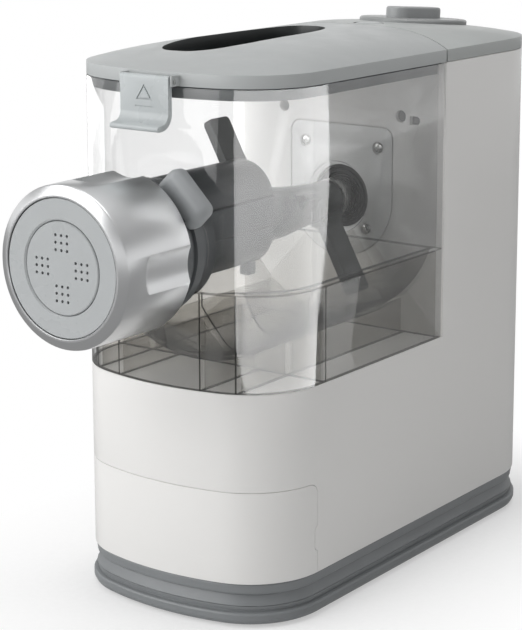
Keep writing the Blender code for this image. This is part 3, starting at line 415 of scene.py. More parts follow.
rubber = plastic("black rubber", (38, 38, 38), 0.75, 0.03, 1800.0, 0.06)
board_green = plastic("green circuit board", (28, 92, 58), 0.40, 0.06, spread=0.12)
bronze = plastic("sintered bronze", (176, 142, 88), 0.42, 0.2, 3000.0, 0.10, 1.0)
steel = plastic("turned steel", (198, 198, 196), 0.28, 0.08, 900.0, 0.05, 1.0, (1.0, 12.0, 1.0))
print("plain finishes", len(bpy.data.materials))

# %% [markdown]
# The ring is satin aluminium: no tool marks show on it, only soft reflections, so a broad noise
# changes its colour and roughness very little. The chamber is clear plastic a couple of millimetres
# thick, which hardly bends what is seen through it, so a see-through shader under a mirror that
# grows at grazing angles looks right and lets the lamps in. A faint cloudiness stands for the haze
# of washed plastic. Where an inner wall meets the skin, the real plastic shows a dark edge, so the
# shader draws thin lines at those places on the piece.

# %% Metal and clear plastic
WEBS, BULKHEAD, LEDGE_LINE = (0.026, 0.0443), -0.0555, 0.1708


def satin_metal():
    made, tree, shader, place = fresh("satin ring metal")
    broad = noise(tree, place, 30.0, 1.0)
    link(tree, two_tone(tree, broad, tone(216, 217, 218), tone(220, 221, 222)),
         shader.inputs["Base Color"])
    link(tree, ranged(tree, broad, 0.295, 0.305), shader.inputs["Roughness"])
    shader.inputs["Metallic"].default_value = 1.0
    return made


def calc(tree, operation, *values):
    """One Math node; a value is a socket or a number."""
    made = node(tree, "Math")
    made.operation = operation
    for i, value in enumerate(values):
        if isinstance(value, (int, float)):
            made.inputs[i].default_value = value
        else:
            link(tree, value, made.inputs[i])
    return made.outputs[0]


def mix_colours(tree, share, first, second):
    """One Mix node; a colour is a socket or a list of three numbers."""
    made = node(tree, "Mix")
    made.data_type = "RGBA"
    link(tree, share, made.inputs["Factor"])
    for i, colour in ((6, first), (7, second)):
        if isinstance(colour, list):
            made.inputs[i].default_value = (*colour, 1.0)
        else:
            link(tree, colour, made.inputs[i])
    return made.outputs[2]


def mix_shaders(tree, share, first, second):
    made = node(tree, "MixShader")
    link(tree, share, made.inputs["Fac"])
    link(tree, first.outputs[0], made.inputs[1])
    link(tree, second.outputs[0], made.inputs[2])
    return made


def surface(tree, shader):
    """Make a shader the surface of its material."""
    output = next(n for n in tree.nodes if n.type == "OUTPUT_MATERIAL")
    link(tree, shader.outputs[0], output.inputs["Surface"])


def rays_that_show(tree):
    """1 for a ray from the camera, a mirror or through glass, 0 for one that lights."""
    paths = node(tree, "LightPath")
    seen = paths.outputs["Is Camera Ray"]
    for name in ("Is Glossy Ray", "Is Transmission Ray"):
        seen = calc(tree, "MAXIMUM", seen, paths.outputs[name])
    return seen


def joint_lines(tree, place):
    """1 where a web, the bulkhead or the ledge meets the skin, less where the edge is fainter."""
    parts = node(tree, "SeparateXYZ")
    link(tree, place, parts.inputs[0])
    x, y, z = (parts.outputs[i] for i in range(3))
    side = calc(tree, "ABSOLUTE", x)
    webs = calc(tree, "ADD", *(calc(tree, "COMPARE", side, web, 0.0004) for web in WEBS))
    webs = calc(tree, "MULTIPLY", webs, calc(tree, "LESS_THAN", y, BULKHEAD))
    wall = calc(tree, "COMPARE", y, BULKHEAD, 0.0005)
    upright = calc(tree, "MULTIPLY", calc(tree, "MAXIMUM", webs, wall),
                   calc(tree, "LESS_THAN", z, LEDGE_LINE))
    ledge = calc(tree, "MULTIPLY", calc(tree, "COMPARE", z, LEDGE_LINE, 0.0004), 0.5)
    foot = calc(tree, "MULTIPLY", calc(tree, "COMPARE", z, SHELF + GAP, 0.0003), 0.6)
    return calc(tree, "MAXIMUM", upright, calc(tree, "MAXIMUM", ledge, foot))


def clear_plastic(name, mirror, tint=(252, 252, 252), rim=(118, 119, 119), shade=(250, 250, 250)):
    """Tint is seen face on and rim edge on, and shade is what lamps lose on their way through."""
    made, tree, shader, place = fresh(name)
    tree.nodes.remove(shader)
    facing = node(tree, "LayerWeight", Blend=0.5)
    steep = calc(tree, "POWER", facing.outputs["Facing"], 3.0)
    showing = rays_that_show(tree)
    seen = two_tone(tree, steep, tone(*tint), tone(*rim), 0.05, 0.9)
    clear_part = mix_colours(tree, showing, tone(*shade), seen)
    lines = calc(tree, "MULTIPLY", joint_lines(tree, place), showing)
    through = node(tree, "BsdfTransparent")
    link(tree, mix_colours(tree, lines, clear_part, tone(92, 91, 88)), through.inputs["Color"])
    gloss = node(tree, "BsdfGlossy", Color=(1.0, 1.0, 1.0, 1.0))
    cloudy = noise(tree, place, 45.0, 3.0)
    link(tree, ranged(tree, cloudy, 0.03, 0.08), gloss.inputs["Roughness"])
    haze = node(tree, "BsdfDiffuse", Color=(*tone(225, 227, 227), 1.0))
    dusty = mix_shaders(tree, ranged(tree, cloudy, 0.001, 0.006), through, haze)
    glance = ranged(tree, steep, mirror, mirror * 13, 0.0, 1.0)
    surface(tree, mix_shaders(tree, glance, dusty, gloss))
    return made


ring_metal = satin_metal()
clear = clear_plastic("clear chamber plastic", 0.035)
clear_inner = clear_plastic("clear inner plastic", 0.010)
# The lower clear finish is tinted darker than the others: painted shade under the trough.
clear_low_painted_shade = clear_plastic("clear lower plastic with painted shade", 0.010, (237, 236, 234), (110, 111, 111),
                          (240, 240, 239))
print("clear finishes", clear.name, clear_inner.name, clear_low_painted_shade.name)

# %% [markdown]
# Faces that a test picks can get a second finish.

# %% Helpers that paint a piece


def paint(piece, name, finish, slot_name, body, *nodes):
    """Name a piece, give it its finish and body, and hide its CAD nodes; slot_name is not used."""
    piece.name = piece.data.name = name
    piece.data.materials.clear()
    piece.data.materials.append(finish)
    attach(piece, body)
    if nodes:
        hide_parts(*nodes)
    low = [min(v.co[k] for v in piece.data.vertices) for k in range(3)]
    high = [max(v.co[k] for v in piece.data.vertices) for k in range(3)]
    print(piece.name, len(piece.data.polygons), "faces",
          [round(v * 1000, 1) for v in (*low, *high)])
    return piece


def repaint(piece, finish, chosen):
    """Give one more material to the faces for which chosen says yes."""
    piece.data.materials.append(finish)
    faces = [face for face in piece.data.polygons if chosen(face)]
    for face in faces:
        face.material_index = len(piece.data.materials) - 1
    print(piece.name, "has", len(faces), "faces in", finish.name)


print("finishes ready to paint with", len(bpy.data.materials))

# %% [markdown]
# The drawer wraps round the front of the body. Its side view is a rectangle with one rounded corner
# at the top rear. The same outline, grown by the seam, cuts the opening in the body, so that the
# seam is even all along. It can be had by cutting a wall that follows the outline from above.

# %% Drawer side view
DRAWER_CORNER = 0.0062


def drawer_side(grow):
    top, rear = DRAWER_TOP + grow, DRAWER_SPLIT + grow
    corner = DRAWER_CORNER + grow
    points = [(-FAR, 0.0), (rear, 0.0)]
    points += arc((rear - corner, top - corner), corner, 0, 90, 10)
    return points + [(-FAR, top)]


def notch_side(grow=0.0):
    """The finger notch at the drawer's rear edge, with rounded ends."""
    low, high, reach = 0.0345, 0.048, 0.0026
    points = arc((DRAWER_SPLIT, low + reach), reach + grow, 180, 360, 10)
    return points + arc((DRAWER_SPLIT, high - reach), reach + grow, 0, 180, 10)


print("drawer side", len(drawer_side(0.0)), "points, notch", len(notch_side()), "points")

# %% [markdown]
# The body is one moulding: a low front with the shelf under the chamber, and the tall rear column.
# It starts as the outline pulled up to the full height. The space of the chamber, the hollow
# inside, the drawer's opening and the holes of the back wall are then cut from it.

# %% White body
SCREWS = [(-0.0242, 0.2216), (0.0242, 0.2216), (-0.0167, 0.1755), (0.0167, 0.1755)]
PLATE_THICK = 0.0012
SHELL = 0.0025
DRIVE_HOLE = 0.0178


def cover_outline(grow):
    half, corner, top = 0.0335 + grow, 0.006 + grow, 0.233 + grow
    points = arc((0.0, AXIS), half, 180, 360, 40)
    points += arc((half - corner, top - corner), corner, 0, 90, 8)
    return points + arc((corner - half, top - corner), corner, 90, 180, 8)


low = PLINTH_TOP + GAP
body = prism(plan(), low, LID_LOW - GAP)
combine(body, block((-FAR, -FAR, SHELF), (FAR, WALL_FACE, 0.3)))
combine(body, prism(plan(-SHELL), 0.0, SHELF - SHELL))
column = clip(plan(-SHELL), WALL_FACE + 0.003, "rear")
combine(body, prism(column, SHELF - 0.006, 0.3))
opening = prism(drawer_side(0.0), -FAR, FAR, "X")
combine(opening, prism(notch_side(-GAP), -FAR * 2, FAR * 2, "X"))
combine(body, opening)
combine(body, prism(cover_outline(0.0008), 0.05, WALL_FACE + PLATE_THICK + GAP, "Y"))
combine(body, rod(DRIVE_HOLE, (0.0, AXIS), 0.05, 0.07, sides=96))
for x, z in SCREWS:
    combine(body, rod(0.0018, (x, z), 0.05, 0.07, sides=16))
for side in (-1, 1):
    combine(body, rod(0.0034, (side * 0.0389, 0.2404), 0.05, 0.07, sides=40))
d_hole = arc((0.0489, 0.23865), 0.00245, -90, 90, 12) + [(0.0446, 0.2411), (0.0446, 0.2362)]
combine(body, prism(d_hole, 0.05, 0.07, "Y"))
combine(body, rod(0.0068, (0.0, 0.045), 0.165, 0.18, sides=40))
for i in range(7):
    x = (i - 3) * 0.0075
    combine(body, prism(stadium(x, 0.1514, 0.1786, 0.0014, 8), 0.165, 0.18, "Y"))
soften(body, 0.0005, 2, 40)
paint(body, "body_shell", white, "white_plastic", "machine", "main_housing")

# %% [markdown]
# The base has two tiers with a groove between them. The upper one stands back under the body and
# is scooped, and the lower one is fuller, with a step at its top. Each is a list of offsets and
# heights, rolled round the outline. Pockets under the lower one take the glued rubber feet.

# %% Grey base
upper = tiers([
    (-0.0008, PLATE_TOP + GAP), (-0.0022, 0.0138), (-0.0033, 0.0164), (-0.0035, 0.0170),
    (-0.0019, 0.0171), (-0.0012, 0.0178), (-0.0006, PLINTH_TOP - 0.0008),
    (-0.0011, PLINTH_TOP)])
combine(upper, prism(plan(-0.0060), 0.0, PLINTH_TOP - 0.0025))
soften(upper, 0.0, smooth=24)
lower = tiers([
    (-0.0012, FOOT), (0.0, FOOT + 0.0007), (0.0010, FOOT + 0.0026), (0.0010, 0.0068),
    (0.0005, 0.0077), (-0.0003, 0.0080), (-0.0006, 0.0080), (-0.0015, 0.00805),
    (-0.0015, 0.0090), (-0.0011, 0.0095), (-0.0009, PLATE_TOP)])
for x in (-1, 1):
    for y in (-0.067, 0.1425):
        combine(lower, rod(0.0083, (x * 0.0435, y), -0.01, 0.0028, "Z"))
soften(lower, 0.0, smooth=24)
for tier, name, node_name in ((upper, "base_tier", "base_plinth"),
                              (lower, "base_foot_tier", "base_plate")):
    paint(tier, name, base_grey, "mid_grey_plastic", "machine", node_name)

# %% [markdown]
# The drawer's front is a bowed strip of the same wall as the body. The outline is pulled up, made
# hollow, and cut to its side view, and the finger notch is taken out at both ends.

# %% Drawer front
low, top = PLINTH_TOP + GAP, DRAWER_TOP
front = prism(clip(plan(), DRAWER_SPLIT, "front"), low, top)
combine(front, prism(plan(-WALL), 0.0, 0.1))
combine(front, prism(drawer_side(-GAP), -FAR / 2, FAR / 2, "X"), "INTERSECT")
combine(front, prism(notch_side(), -FAR / 2, FAR / 2, "X"))
soften(front, 0.0006, 3, 40)
paint(front, "drawer_face", white, "white_plastic", "drawer", "drawer_front")

# %% [markdown]
# The chamber is one clear moulding: an outer skin flush with the body, a round trough inside it
# that narrows to a bowl at the front, a ledge where the two meet, and webs with a cross wall under
# the trough. The trough is a turned shape, so it is spun from its half section. The skin goes up to
# the lid, and the lid's collar hangs inside it.

# %% Clear chamber
SKIN_TOP = LID_LOW - 2 * GAP
LEDGE = 0.1715
TROUGH, BOWL = WIDTH / 2 - WALL, 0.0318
CHAMBER_REAR = WALL_FACE - WALL
HALF_WEB = 0.0011


def trough(grow):
    rounding = BOWL + grow
    centre_r, centre_y = TROUGH - BOWL, -0.0625
    foot_r = centre_r + rounding * math.cos(math.pi / 4)
    foot_y = centre_y - rounding * math.sin(math.pi / 4)
    start = BODY_FRONT - 0.004
    profile = [(0.0, -start), (foot_r - (foot_y - start), -start)]
    profile += [(centre_r + rounding * math.cos(math.radians(a)),
                 rounding * math.sin(math.radians(a)) - centre_y) for a in range(45, -1, -5)]
    profile += [(TROUGH + grow, -WIDTH), (0.0, -WIDTH)]
    return turned(profile, (0.0, 0.0, AXIS), "Y", 120)


low = SHELF + GAP
inside = clip(plan(-WALL), CHAMBER_REAR - WALL, "front")
chamber = prism(clip(plan(), CHAMBER_REAR, "front"), low, SKIN_TOP)
upper = prism(inside, low - 0.01, SKIN_TOP + 0.01)
hollow = trough(0.0)
combine(hollow, block((-FAR, -FAR, LEDGE), (FAR, FAR, FAR)), "UNION")
combine(upper, hollow, "INTERSECT")
combine(chamber, upper)
under = prism(inside, low - 0.01, LEDGE - WALL)
combine(under, trough(WALL))
for web, end in zip(WEBS, (BULKHEAD, FAR)):
    for x in (web, -web):
        combine(under, block((x - HALF_WEB, -FAR, 0.0), (x + HALF_WEB, end, 0.3)))
combine(under, block((-FAR, BULKHEAD - HALF_WEB, 0.0), (FAR, BULKHEAD + HALF_WEB, 0.3)))
combine(chamber, under)
combine(chamber, rod(0.0303, (0.0, AXIS), -FAR, -0.033, sides=96))
combine(chamber, rod(0.020, (0.0, AXIS), 0.045, 0.06, sides=64))
soften(chamber, 0.0004, 2, 45)
paint(chamber, "clear_chamber", clear, "clear_plastic", "machine", "mixing_chamber")

# %% [markdown]
# Only the outer skin mirrors the lamps strongly. Inner faces are calmer, and those under the
# trough, behind the many walls of the real piece, are tinted darker as painted shade. An outer face
# lies on a side, on the front bow or on the round corner between them.

# %% Finishes of the chamber
SIDE_END = BODY_FRONT + FRONT_BOW - math.sqrt((FRONT_BOW - FRONT_CORNER) ** 2
                                              - (WIDTH / 2 - FRONT_CORNER) ** 2)
UNDER_TROUGH = 0.1700


def inner(face):
    x, y, z = face.center
    x = abs(x)
    on_side = x > WIDTH / 2 - 0.0004 and y > SIDE_END
    corner_reach = math.hypot(x - (WIDTH / 2 - FRONT_CORNER), y - SIDE_END)
    on_corner = y < SIDE_END + 0.001 and x > 0.036 and corner_reach > FRONT_CORNER - 0.0006
    bow_reach = math.hypot(x, y - BODY_FRONT - FRONT_BOW)
    on_front = x < 0.040 and y < SIDE_END and bow_reach > FRONT_BOW - 0.0006
    return not (on_side or on_corner or on_front)


repaint(chamber, clear_inner, inner)
# Faces under the trough get the darker clear finish as painted shade.
repaint(chamber, clear_low_painted_shade, lambda face: inner(face) and face.center.z < UNDER_TROUGH)

# %% [markdown]
# The cover plate, its screws and the rubber seal close the drive opening in the back wall. They are
# small, but the clear chamber shows them, so each has its rounded edge, cross slot or lip.

# %% Drive cover, screws and seal
plate = prism(cover_outline(0.0), WALL_FACE, WALL_FACE + PLATE_THICK, "Y")
combine(plate, rod(DRIVE_HOLE, (0.0, AXIS), 0.05, 0.07, sides=96))
for x, z in SCREWS:
    combine(plate, rod(0.0035, (x, z), 0.05, 0.07, sides=32))
soften(plate, 0.0003, 2, 40)
plate_grey = plastic("pale plate plastic", (214, 215, 214), 0.30, 0.05, spread=0.015)
paint(plate, "drive_plate", plate_grey, "white_plastic", "machine", "drive_cover_plate")


def make_screw(x, z):
    seat = WALL_FACE + PLATE_THICK + GAP
    profile = behind(-seat, [(0.0, -0.0012), (0.0021, -0.0012), (0.0028, -0.0008),
                             (0.003, -0.0003), (0.003, 0.0), (0.0015, 0.0), (0.0015, 0.0055),
                             (0.0, 0.0055)])
    screw = turned(profile, (x, 0.0, z), "Y", 32)
    for across, tall in ((0.0036, 0.0007), (0.0007, 0.0036)):
        combine(screw, block((x - across / 2, seat - 0.01, z - tall / 2),
                             (x + across / 2, seat - 0.0005, z + tall / 2)))
    return soften(screw, 0.0)


for i, (x, z) in enumerate(SCREWS):
    paint(make_screw(x, z), f"cover_screw_{i + 1}", steel, "brushed_steel", "machine",
          f"plate_screw_{i + 1}")

profile = behind(-(WALL_FACE + 0.0006), [
    (0.0113, 0.005), (0.0175, 0.005), (0.0175, 0.0), (0.0165, 0.0), (0.0160, 0.0016),
    (0.0150, 0.0016), (0.0146, 0.0002), (0.0138, 0.0002), (0.0133, 0.0018), (0.0124, 0.0018),
    (0.0121, 0.0006), (0.0113, 0.0006), (0.0113, 0.005)])
seal = turned(profile, (0.0, 0.0, AXIS), "Y", 64)
soften(seal, 0.0)
paint(seal, "drive_seal", rubber, "rubber", "machine", "shaft_seal")

# %% [markdown]
# The tube is a moulding with a flange, two grip pads for turning it, and a long body with a guide
# strip on each side and a small heel under it. A stadium outline gives the body, and the pads are
# softened blocks that are turned to 45 degrees and joined on.

# %% Extrusion tube
nose = RING_FRONT + 0.004 + 0.003 + 2 * GAP
profile = [(0.0175, -nose), (0.0302, -nose), (0.0310, -(nose + 0.0008)), (0.0310, 0.1245),
           (0.0334, 0.1245), (0.0340, 0.1239), (0.0340, 0.1190), (0.0326, 0.1184),
           (0.0326, 0.1160), (0.0340, 0.1154), (0.0340, 0.1101), (0.0334, 0.1095),
           (0.0300, 0.1095), (0.0300, 0.0960), (0.0175, 0.0960), (0.0175, -nose)]
tube = turned(profile, (0.0, 0.0, AXIS), "Y", 96)
half, top, bottom = 0.0195, 0.2255, 0.1705
outline = stadium(0.0, bottom + half, top - half, half, 24)
long_body = prism(outline, -0.1027, -0.033, "Y")
combine(long_body, rod(0.0175, (0.0, AXIS), -0.2, 0.0, sides=96))
soften(long_body, 0.0008, 2, 50)
combine(tube, long_body, "UNION")
for side in (-1, 1):
    guide = block((min(side * 0.015, side * 0.0218), -0.0945, 0.1925),
                  (max(side * 0.015, side * 0.0218), -0.0295, 0.2085))
    soften(guide, 0.0012, 3)
    combine(tube, guide, "UNION")
heel = block((0.0045, -0.0430, 0.1662), (0.0100, -0.0360, 0.1760))
soften(heel, 0.0007, 2)
combine(tube, heel, "UNION")
for turn in (45, 225):
    pad = block((0.0300, -0.1215, -0.0145), (0.0465, -0.1097, 0.0145))
    soften(pad, 0.0046, 6)
    pad.data.transform(Matrix.Translation((0.0, 0.0, AXIS))
                       @ Matrix.Rotation(-math.radians(turn), 4, "Y"))
    combine(tube, pad, "UNION")
soften(tube, 0.0)
paint(tube, "auger_tube", tube_grey, "mid_grey_plastic", "machine", "extrusion_tube")
repaint(tube, pad_grey, lambda face: face.center.y < -0.109 and math.hypot(
    face.center.x, face.center.z - AXIS) > 0.0345)

# %% [markdown]
# The fixing ring is turned from aluminium. Its four finger recesses are milled from the rear with
# a ball-nosed cutter, which leaves their round front ends. The tool here is that cutter: a rod
# with a half ball at its tip, spun from its half section.

# %% Fixing ring
front, rear = -RING_FRONT, -RING_REAR
profile = behind(front, [(0.0337, 0.0004), (0.0340, 0.0), (0.0350, 0.0001), (0.0389, 0.0021),
                         (0.0394, 0.0026), (0.0396, 0.0036)])
profile += [(0.0399, rear + 0.0010), (0.0391, rear), (0.0360, rear), (0.0352, rear + 0.0008)]
profile += behind(front, [(0.0352, 0.0040), (0.0337, 0.0040), (0.0337, 0.0006)])
ring = turned(profile, (0.0, 0.0, AXIS), "Y", 160)
radius, nose, start, depth = 0.022, 0.009, 0.1655, 0.0034
reach = 0.0399 - depth + radius
for i in range(4):
    a = math.radians(-2 + 90 * i)
    ball = [(radius * math.sin(math.radians(b)),
             start - nose * (1 - math.cos(math.radians(b)))) for b in range(0, 91, 9)]
    tool = turned(ball + [(radius, 0.1), (0.0, 0.1)],
                  (reach * math.cos(a), 0.0, AXIS + reach * math.sin(a)), "Y", 72)
    combine(ring, tool)
soften(ring, 0.0004, 2, 22, 20)
paint(ring, "metal_ring", ring_metal, "ring_metal", "ring", "fixing_ring")

# %% [markdown]
# The shaping disc sits in the ring and carries an insert whose 36 holes make dough into strands.
# The holes stand in four groups of three by three, so one rod is placed 36 times as a cutter.

# %% Shaping disc and insert
DISC_FACE, DISC_SEAT = -RING_FRONT - 0.0006, 0.003
HOLE, HOLE_PITCH, GROUP_REACH = 0.00078, 0.00355, 0.0122
step = DISC_FACE - 0.0034 - 0.0003
rear = step - 0.003
seat = DISC_FACE - DISC_SEAT
profile = behind(DISC_FACE, [(0.0228, 0.0008), (0.0236, 0.0), (0.0331, 0.0), (0.0334, 0.0004)])
profile += [(0.0334, step), (0.0349, step), (0.0349, rear), (0.0195, rear), (0.0195, seat),
            (0.0228, seat), (0.0228, DISC_FACE - 0.0008)]
disc = turned(profile, (0.0, 0.0, AXIS), "Y", 128)
soften(disc, 0.0, smooth=28)
seat = DISC_FACE - DISC_SEAT + GAP
profile = behind(DISC_FACE, [(0.0, 0.0002), (0.0219, 0.0002), (0.0224, 0.0007)])
profile += [(0.0224, seat), (0.0, seat)]
insert = turned(profile, (0.0, 0.0, AXIS), "Y", 96)
holes = []
for group in range(4):
    x = GROUP_REACH * math.cos(group * math.pi / 2)
    z = AXIS + GROUP_REACH * math.sin(group * math.pi / 2)
    for u in (-1, 0, 1):
        for v in (-1, 0, 1):
            holes.append(rod(HOLE, (x + u * HOLE_PITCH, z + v * HOLE_PITCH),
                             RING_FRONT - 0.004, RING_FRONT + 0.008, sides=14))
combine(insert, join(holes))
soften(insert, 0.0, smooth=28)
paint(disc, "strand_disc", disc_grey, "light_grey_plastic", "disc", "shaping_disc")
paint(insert, "strand_insert", disc_grey, "light_grey_plastic", "disc", "die_insert")

# %% [markdown]
# The paddle is a hub with three wide flat blades, each a quarter turn from the last and further
# back. A blade's tip is rounded and its root flares into the hub.

# %% Mixing paddle
front, rear = -0.0327, 0.045
profile = [(0.0, -front), (0.0130, -front), (0.0139, -(front + 0.0010)), (0.0137, 0.0050),
           (0.0124, -0.0070), (0.0112, -0.0200), (0.0106, -(rear - 0.0012)),
           (0.0095, -rear), (0.0, -rear)]
paddle = turned(profile, (0.0, 0.0, AXIS), "Y", 64)
for i, reach in enumerate((0.057, 0.0535, 0.0545)):
    y = -0.0215 + 0.029 * i
    tip = reach - 0.0025
    outline = [(0.0031, y - 0.0085), (tip, y - 0.0085)]
    outline += arc((tip, y - 0.006), 0.0025, -90, 0, 6)
    outline += arc((tip, y + 0.006), 0.0025, 0, 90, 6)
    outline += [(0.0031, y + 0.0085)]
    half_thick = 0.0032 if i == 1 else 0.0024
    blade = prism(outline, -half_thick, half_thick)
    soften(blade, 0.0010, 3)
    root = prism([(0.0051, -0.0067), (0.0107, -0.0064), (0.0142, -0.0032),
                  (0.0185, -0.0019), (0.0185, 0.0019), (0.0142, 0.0032),
                  (0.0107, 0.0064), (0.0051, 0.0067)], y - 0.0077, y + 0.0077, "Y")
    turn = Matrix.Rotation(-math.radians(118.5 - 90 * i), 4, "Y")
    for part in (blade, root):
        part.data.transform(Matrix.Translation((0.0, 0.0, AXIS)) @ turn)
        combine(paddle, part, "UNION")
    print("with blade", i + 1, "the paddle has", len(paddle.data.polygons), "faces")
combine(paddle, rod(0.0061, (0.0, AXIS), rear - 0.012, rear + 0.01, sides=6))
soften(paddle, 0.0)
paint(paddle, "dough_paddle", paddle_grey, "dark_grey_plastic", "mixing_line", "mixing_paddle")

# %% [markdown]
# Lid and rear cover are one pillow-shaped top that a bowed seam divides. The pillow is made once
# as a function: the outline is pulled up to the crease, and its top face is then pulled in again
# and again, a little higher each time. Each half keeps its side of the seam.

# %% The pillow-shaped top
SHARES = (0.994, 0.98, 0.955, 0.92, 0.87, 0.8, 0.7, 0.58, 0.44, 0.3, 0.16)
SEAM_HALF, SEAM_BOW = 0.0005, 0.015


def pillow(inset, drop):
    low = LID_LOW - (0.004 if inset else 0.0)
    piece = prism(plan(-inset), low, CREASE - drop)
    only(piece)
    bpy.ops.object.mode_set(mode="EDIT")
    bpy.ops.mesh.select_mode(type="FACE")
    bpy.ops.mesh.select_all(action="DESELECT")
    bpy.ops.object.mode_set(mode="OBJECT")
    max(piece.data.polygons, key=lambda face: face.center.z).select = True
    bpy.ops.object.mode_set(mode="EDIT")
    share, height = 1.0, CREASE - drop
    for following in SHARES:
        target = CREASE - drop + RISE * (1 - following ** 3)
        step = (0, 0, target - height)
        bpy.ops.mesh.extrude_region_move(TRANSFORM_OT_translate={"value": step})
        bpy.ops.transform.resize(value=(following / share, following / share, 1.0),
                                 center_override=(0.0, MIDDLE_Y, 0.0))
        share, height = following, target
    bpy.ops.mesh.poke(offset=0.0)
    rest()
    return piece


def seam(shift):
    half = WIDTH / 2 + 0.001
    radius = (half ** 2 + SEAM_BOW ** 2) / (2 * SEAM_BOW)
    turn = math.degrees(math.asin(half / radius))
    return arc((0.0, WALL_FACE + SEAM_BOW - radius), radius + shift, 90 - turn, 90 + turn, 48)


def front_of_seam(shift):
    edge = seam(shift)
    return [(-FAR, -FAR), (FAR, -FAR), (FAR, edge[0][1]), *edge, (-FAR, edge[-1][1])]


def behind_seam(shift):
    edge = seam(shift)
    return [(FAR, edge[0][1]), (FAR, FAR), (-FAR, FAR), (-FAR, edge[-1][1]), *reversed(edge)]


print("seam", len(seam(0.0)), "points")

# %% [markdown]
# The filling slot is a long oval with full ends. Its rim is rounded, and its wall goes down to the
# dark pouring grid, so the lid keeps a wall round the slot when it is hollowed. Two ears at the
# front carry the latch. The slot's wall gets a dark finish: painted shade inside the slot.

# %% Lid
SLOT_X, SLOT_Y = -0.0155, -0.0095
SLOT_HALF_X, SLOT_HALF_Y, SLOT_WALL = 0.0225, 0.059, 0.0018


def slot_outline(grow):
    steps = 72
    points = []
    for i in range(steps):
        a = 2 * math.pi * i / steps
        x = math.copysign(abs(math.cos(a)) ** 0.7, math.cos(a))
        y = math.copysign(abs(math.sin(a)) ** 0.7, math.sin(a))
        points.append((SLOT_X + (SLOT_HALF_X + grow) * x, SLOT_Y + (SLOT_HALF_Y + grow) * y))
    return points


LATCH_HALF, LATCH_TOP = 0.015, 0.2776
PIN_Y, PIN_Z = BODY_FRONT - 0.0031, LATCH_TOP - 0.0031
top = 0.30
lid = pillow(0.0, 0.0)
combine(lid, prism(front_of_seam(-SEAM_HALF), 0.2, top), "INTERSECT")
space = pillow(WALL, WALL)
combine(space, prism(front_of_seam(-0.00025 - WALL), 0.2, top), "INTERSECT")
combine(space, prism(slot_outline(SLOT_WALL), 0.2, top))
combine(lid, space)
combine(lid, prism(slot_outline(0.0), 0.2, top))
soften(lid, 0.0009, 3, 38)
half_ear = 0.0006
for side in (-1, 1):
    x = side * (LATCH_HALF + GAP + half_ear)
    ear = block((x - half_ear, PIN_Y - 0.0022, LID_LOW + 0.0002),
                (x + half_ear, BODY_FRONT + 0.002, CREASE - 0.0010))
    soften(ear, 0.0005, 3)
    combine(lid, ear, "UNION")
combine(lid, rod(0.0012, (PIN_Y, PIN_Z), -0.03, 0.03, "X", 20))
soften(lid, 0.0, smooth=28)
paint(lid, "lid_top", lid_grey, "light_grey_plastic", "lid", "lid_shell")


# Faces of the slot's wall, which get a dark finish as painted shade.
def shaded_slot_wall(face):
    x, y, z = face.center
    reach = (abs(x - SLOT_X) / 0.0241) ** 2.86 + (abs(y - SLOT_Y) / 0.0608) ** 2.86
    return reach < 1.0 and abs(face.normal.z) < 0.3


# The slot's wall gets the charcoal finish as painted shade inside the slot.
repaint(lid, paddle_grey, shaded_slot_wall)

# %% [markdown]
# The grid closes the bottom of the filling slot, so that no finger reaches the paddle. It is the
# slot's outline as a thin plate, with six long holes cut across it.

# %% Pouring grid
top = LID_LOW - GAP
grid = prism(slot_outline(SLOT_WALL), top - 0.003, top)
half, end = 0.0165, 0.0015
for i in range(6):
    y = -0.008 + (i - 2.5) * 0.012
    outline = arc((SLOT_X + half - end, y), end, -90, 90, 6)
    outline += arc((SLOT_X - half + end, y), end, 90, 270, 6)
    combine(grid, prism(outline, 0.2, 0.3))
soften(grid, 0.0004, 2)
paint(grid, "slot_grid", paddle_grey, "dark_grey_plastic", "lid", "pouring_grid")

# %% [markdown]
# The collar is a band under the lid that hangs inside the chamber's skin and centres the lid.

# %% Lid collar
low, top = CHAMBER_TOP + GAP, LID_LOW - GAP
outside = WALL + GAP
inside = outside + 0.003
collar = prism(clip(plan(-outside), CHAMBER_REAR - outside, "front"), low, top)
combine(collar, prism(clip(plan(-inside), CHAMBER_REAR - inside, "front"), 0.2, 0.3))
soften(collar, 0.0004, 2, 45)
paint(collar, "lid_band", collar_grey, "dark_grey_plastic", "lid", "lid_collar")

# %% [markdown]
# The latch is a bent strip, so its side view is drawn and pulled across the machine. It curls
# forward at its foot for the finger, and a triangle and a line are cut into its face.

# %% Latch
face = BODY_FRONT - 0.0062
back = face + 0.0028
top, bend, curl = LATCH_TOP, 0.2592, 0.0052
section = [(back, top - 0.0026)] + arc((face + 0.0016, top - 0.0018), 0.0016, 0, 180, 8)
section += arc((face - curl, bend), curl, 0, -70, 10)
section += arc((face - 0.0070, bend - 0.0068), 0.0014, 100, 275, 6)
section += arc((face - curl, bend), 0.0080, -80, 0, 10)
latch = prism(section, -LATCH_HALF, LATCH_HALF, "X")
knuckle = rod(0.0022, (PIN_Y, PIN_Z), -LATCH_HALF, LATCH_HALF, "X", 32)
combine(latch, knuckle, "UNION")
soften(latch, 0.0006, 3, 45)
combine(latch, rod(0.0012, (PIN_Y, PIN_Z), -0.03, 0.03, "X", 20))
mark = prism([(-0.0050, 0.2652), (0.0050, 0.2652), (0.0, 0.2727)],
             face - 0.0010, face + 0.0006, "Y")
combine(mark, prism([(-0.0036, 0.2660), (0.0036, 0.2660), (0.0, 0.2714)],
                    face - 0.0020, face + 0.0020, "Y"))
combine(latch, mark)
combine(latch, block((-0.0055, face - 0.002, 0.2618), (0.0055, face + 0.0004, 0.2622)))
soften(latch, 0.0)
paint(latch, "front_latch", latch_grey, "light_grey_plastic", "latch", "lid_latch")

# %% [markdown]
# The rear cover has a round pocket for the dial, tilted back with the surface, a hole for the start
# button, and four posts inside for the board. The pocket is cut by a rod that is moved and tilted
# by the same matrix as the dial.

